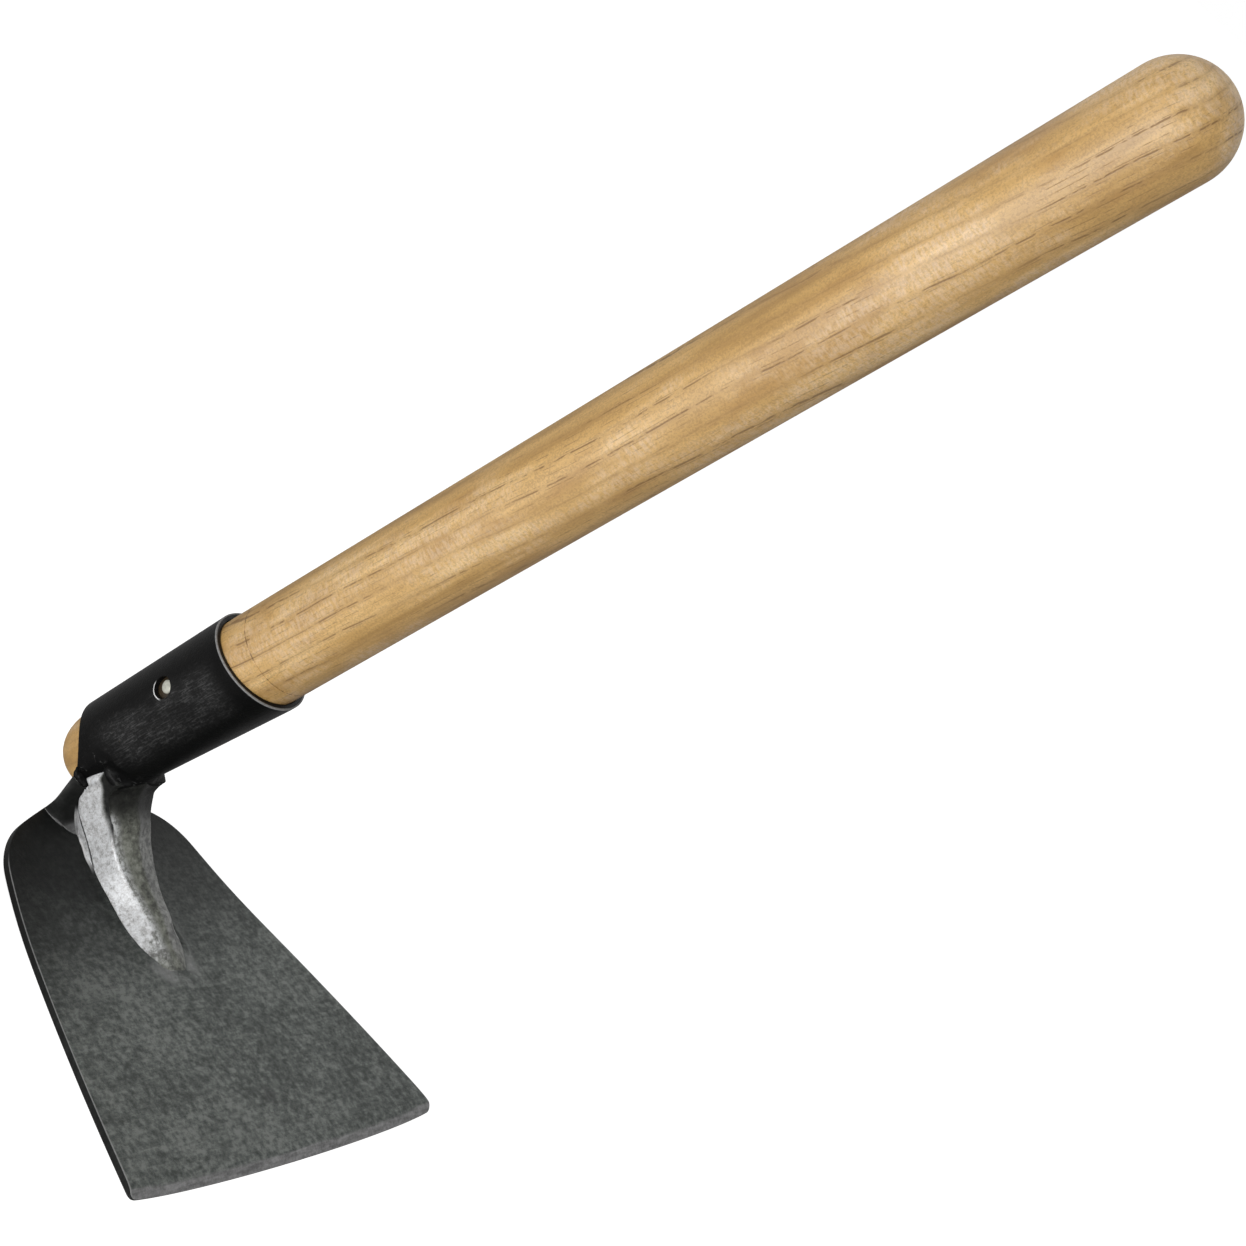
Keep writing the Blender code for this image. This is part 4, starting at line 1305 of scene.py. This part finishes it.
def tang_finish():
    steel = Finish("ground_tang_steel")
    point = world_point(steel)
    down, across, up = split(point)
    _, face_across, _ = facing(steel)
    tool_along, _, tool_up = split(tool_point(steel))
    patch = cloud(point, 130.0, 4.0, 0.6)
    mottle = cloud(point, 520.0, 5.0, 0.75)
    fine = cloud(point, 1800.0, 3.0, 0.7)
    bright, olive, ridge = tang_colours(across, patch, mottle, fine)
    corner = painted_corner(tool_along, tool_up, patch)
    cover = (0.75 + mottle * 0.4).least(1.0)

    flank = (face_across * -1.0 + mottle.swing(0.5)).rise(*FLANK_FACES)
    flank_clean = flank * (1.0 - corner * cover)
    other = (face_across + mottle.swing(0.3)).rise(*OTHER_FACES)
    edge = (down - FLANK_EDGE[0]) * FLANK_EDGE[1] + FLANK_EDGE[2]
    off_edge = across - edge + mottle.swing(0.005)
    level = tool_up + patch.swing(0.008)
    haze = off_edge.fall(0.0008, 0.0045) * (0.30 + mottle.rise(0.44, 0.60) * 0.55)
    haze = haze * level.fall(-0.0255, -0.0190)
    ground = blend(flank_clean.most(other * 0.8).most(haze), ridge, bright)
    # Painted shadow in the crack beside the flank.
    crack_shaded = blend(crack_shadow_mark(down, across, up, mottle) * 0.9, ground, shade(20))
    blended = blend(down.rise(-0.004, 0.004) * 0.75, crack_shaded, olive)

    paint = level.rise(*PAINT_FADES) * (1.0 - flank_clean.most(haze))
    covered = (paint * 0.9).most((tool_up + mottle * 0.002).rise(*LIP_PAINT))
    painted = blend(covered.most(corner * flank * cover), blended, shade(16))
    black = covered.most(corner * (1.0 - flank_clean))
    bare = (0.2 + flank_clean.most(other) * 0.1) * (1.0 - black)
    return steel.surface(Base_Color=painted, Metallic=bare, Roughness=0.38 + mottle * 0.2,
                         Specular_IOR_Level=0.16, Normal=bump(mottle, 0.0002))


dress(tang, "forged_tang", "tang", tang_finish())
soften(tang, 60)

# %% [markdown]
# ## Welds and nail: the finishes
#
# Both beads lie under the socket's black paint, scraped to the metal in small spots. The
# nail is plated: pale, a little yellow and unevenly dull.

# %% Welds: finish
def bead_finish():
    metal = Finish("painted_weld")
    point = tool_point(metal)
    rough = cloud(point, 700.0, 4.0, 0.7)
    marks = streaks(point, (520.0, 260.0, 260.0), 4.0, 0.7, 0.8)
    light_marks = marks.rise(0.60, 0.68)
    colour = blend(light_marks * 0.4, shade(9), shade(140))
    return metal.surface(Base_Color=colour, Roughness=0.36 + rough * 0.2, Metallic=light_marks * 0.4,
                         Specular_IOR_Level=0.16, Normal=bump(rough * 0.5 + marks, 0.00016))


bead_material = bead_finish()
dress(saddle, "saddle_bead", "saddle_weld", bead_material)
dress(butt_bead, "butt_bead", "neck_weld", bead_material)


# %% Nail: finish
def nail_finish():
    plated = Finish("pale_plated")
    point = tool_point(plated)
    dull = cloud(point, 800.0, 4.0, 0.6)
    colour = ramp(dull, (0.35, shade(190, blue=0.85)), (0.65, shade(214, blue=0.88)))
    return plated.surface(Base_Color=colour, Metallic=0.3, Roughness=0.35 + dull * 0.2,
                          Normal=bump(dull, 0.0001))


dress(nail, "wire_nail", "nail", nail_finish())

# %% [markdown]
# ## Floor, light and background
#
# The photograph has a plain white ground. The floor is a pale sheet that the camera sees
# as white, and that still takes the hoe's soft shadow. What gloss reflects is a room that
# is bright behind the hoe and dark on the photographer's side, as in a small studio: black
# paint and steel then show a light rim and a dark middle. A wide soft lamp, low on that
# side, gives the wood its shape, and a weaker one above fills in.

# %% Floor
FLOOR_SIZE = 12.0
WHITE = (1.0, 1.0, 1.0, 1.0)

deselect()
bpy.ops.mesh.primitive_grid_add(x_subdivisions=4, y_subdivisions=4, size=FLOOR_SIZE)
floor = bpy.context.object
floor.name = "floor"

paper = Finish("pale_floor")
camera_ray = paper.node("ShaderNodeLightPath", output="Is Camera Ray")
paper.surface(Base_Color=(0.65, 0.65, 0.65, 1.0), Roughness=0.9, Specular_IOR_Level=0.1,
              Emission_Color=WHITE, Emission_Strength=camera_ray * 0.88)
floor.data.materials.append(paper.material)
print("floor, m:", FLOOR_SIZE)

# %% Room
CAMERA_SIDE = (0.40, -0.84, 0.38)   # the dark side of the room, where the photographer stands
MATT_LIGHT = 0.30                   # how bright the room is for matt surfaces
AWAY, TOWARDS = -0.25, 0.45         # gloss sees a bright room away from that side
BRIGHT, DIM = 0.95, 0.05            # and a dim one towards it

world = bpy.data.worlds.new("room")
bpy.context.scene.world = world
world.use_nodes = True
room = Nodes(world.node_tree)
direction = room.node("ShaderNodeTexCoord", output="Generated")
towards = room.node("ShaderNodeVectorMath", {"operation": "DOT_PRODUCT"},
                    {0: direction, 1: CAMERA_SIDE}, output="Value")
gloss = room.node("ShaderNodeMapRange",
                  inputs={0: towards, 1: AWAY, 2: TOWARDS, 3: BRIGHT, 4: DIM})
glossy_ray = room.node("ShaderNodeLightPath", output="Is Glossy Ray")
ambient = room.node("ShaderNodeMix", inputs={0: glossy_ray, 2: MATT_LIGHT, 3: gloss})
camera_ray = room.node("ShaderNodeLightPath", output="Is Camera Ray")
seen = room.node("ShaderNodeMix", inputs={0: camera_ray, 2: ambient, 3: 1.0})
background = room.tree.nodes["Background"]
room.feed(background.inputs["Color"], WHITE)
room.feed(background.inputs["Strength"], seen)
print("nodes of the room:", len(room.tree.nodes))


# %% Lamps
def soft_lamp(name, place, target, size, power):
    data = bpy.data.lights.new(name, "AREA")
    data.shape = "RECTANGLE"
    data.size, data.size_y = size
    data.energy = power
    lamp = bpy.data.objects.new(name, data)
    bpy.context.scene.collection.objects.link(lamp)
    lamp.location = place
    lamp.rotation_euler = (Vector(target) - Vector(place)).to_track_quat("-Z", "Y").to_euler()
    print(name, "has", power, "watts")


MIDDLE = (0.0, 0.0, 0.2)
soft_lamp("key_lamp", (0.22, -1.22, 0.20), MIDDLE, (0.9, 0.36), 11)
soft_lamp("top_lamp", (0.1, -0.7, 1.8), MIDDLE, (1.0, 1.0), 5)

# %% [markdown]
# ## View transform
#
# The picture is seen through the Standard view transform.

# %% View transform
view = bpy.context.scene.view_settings
view.view_transform = "Standard"
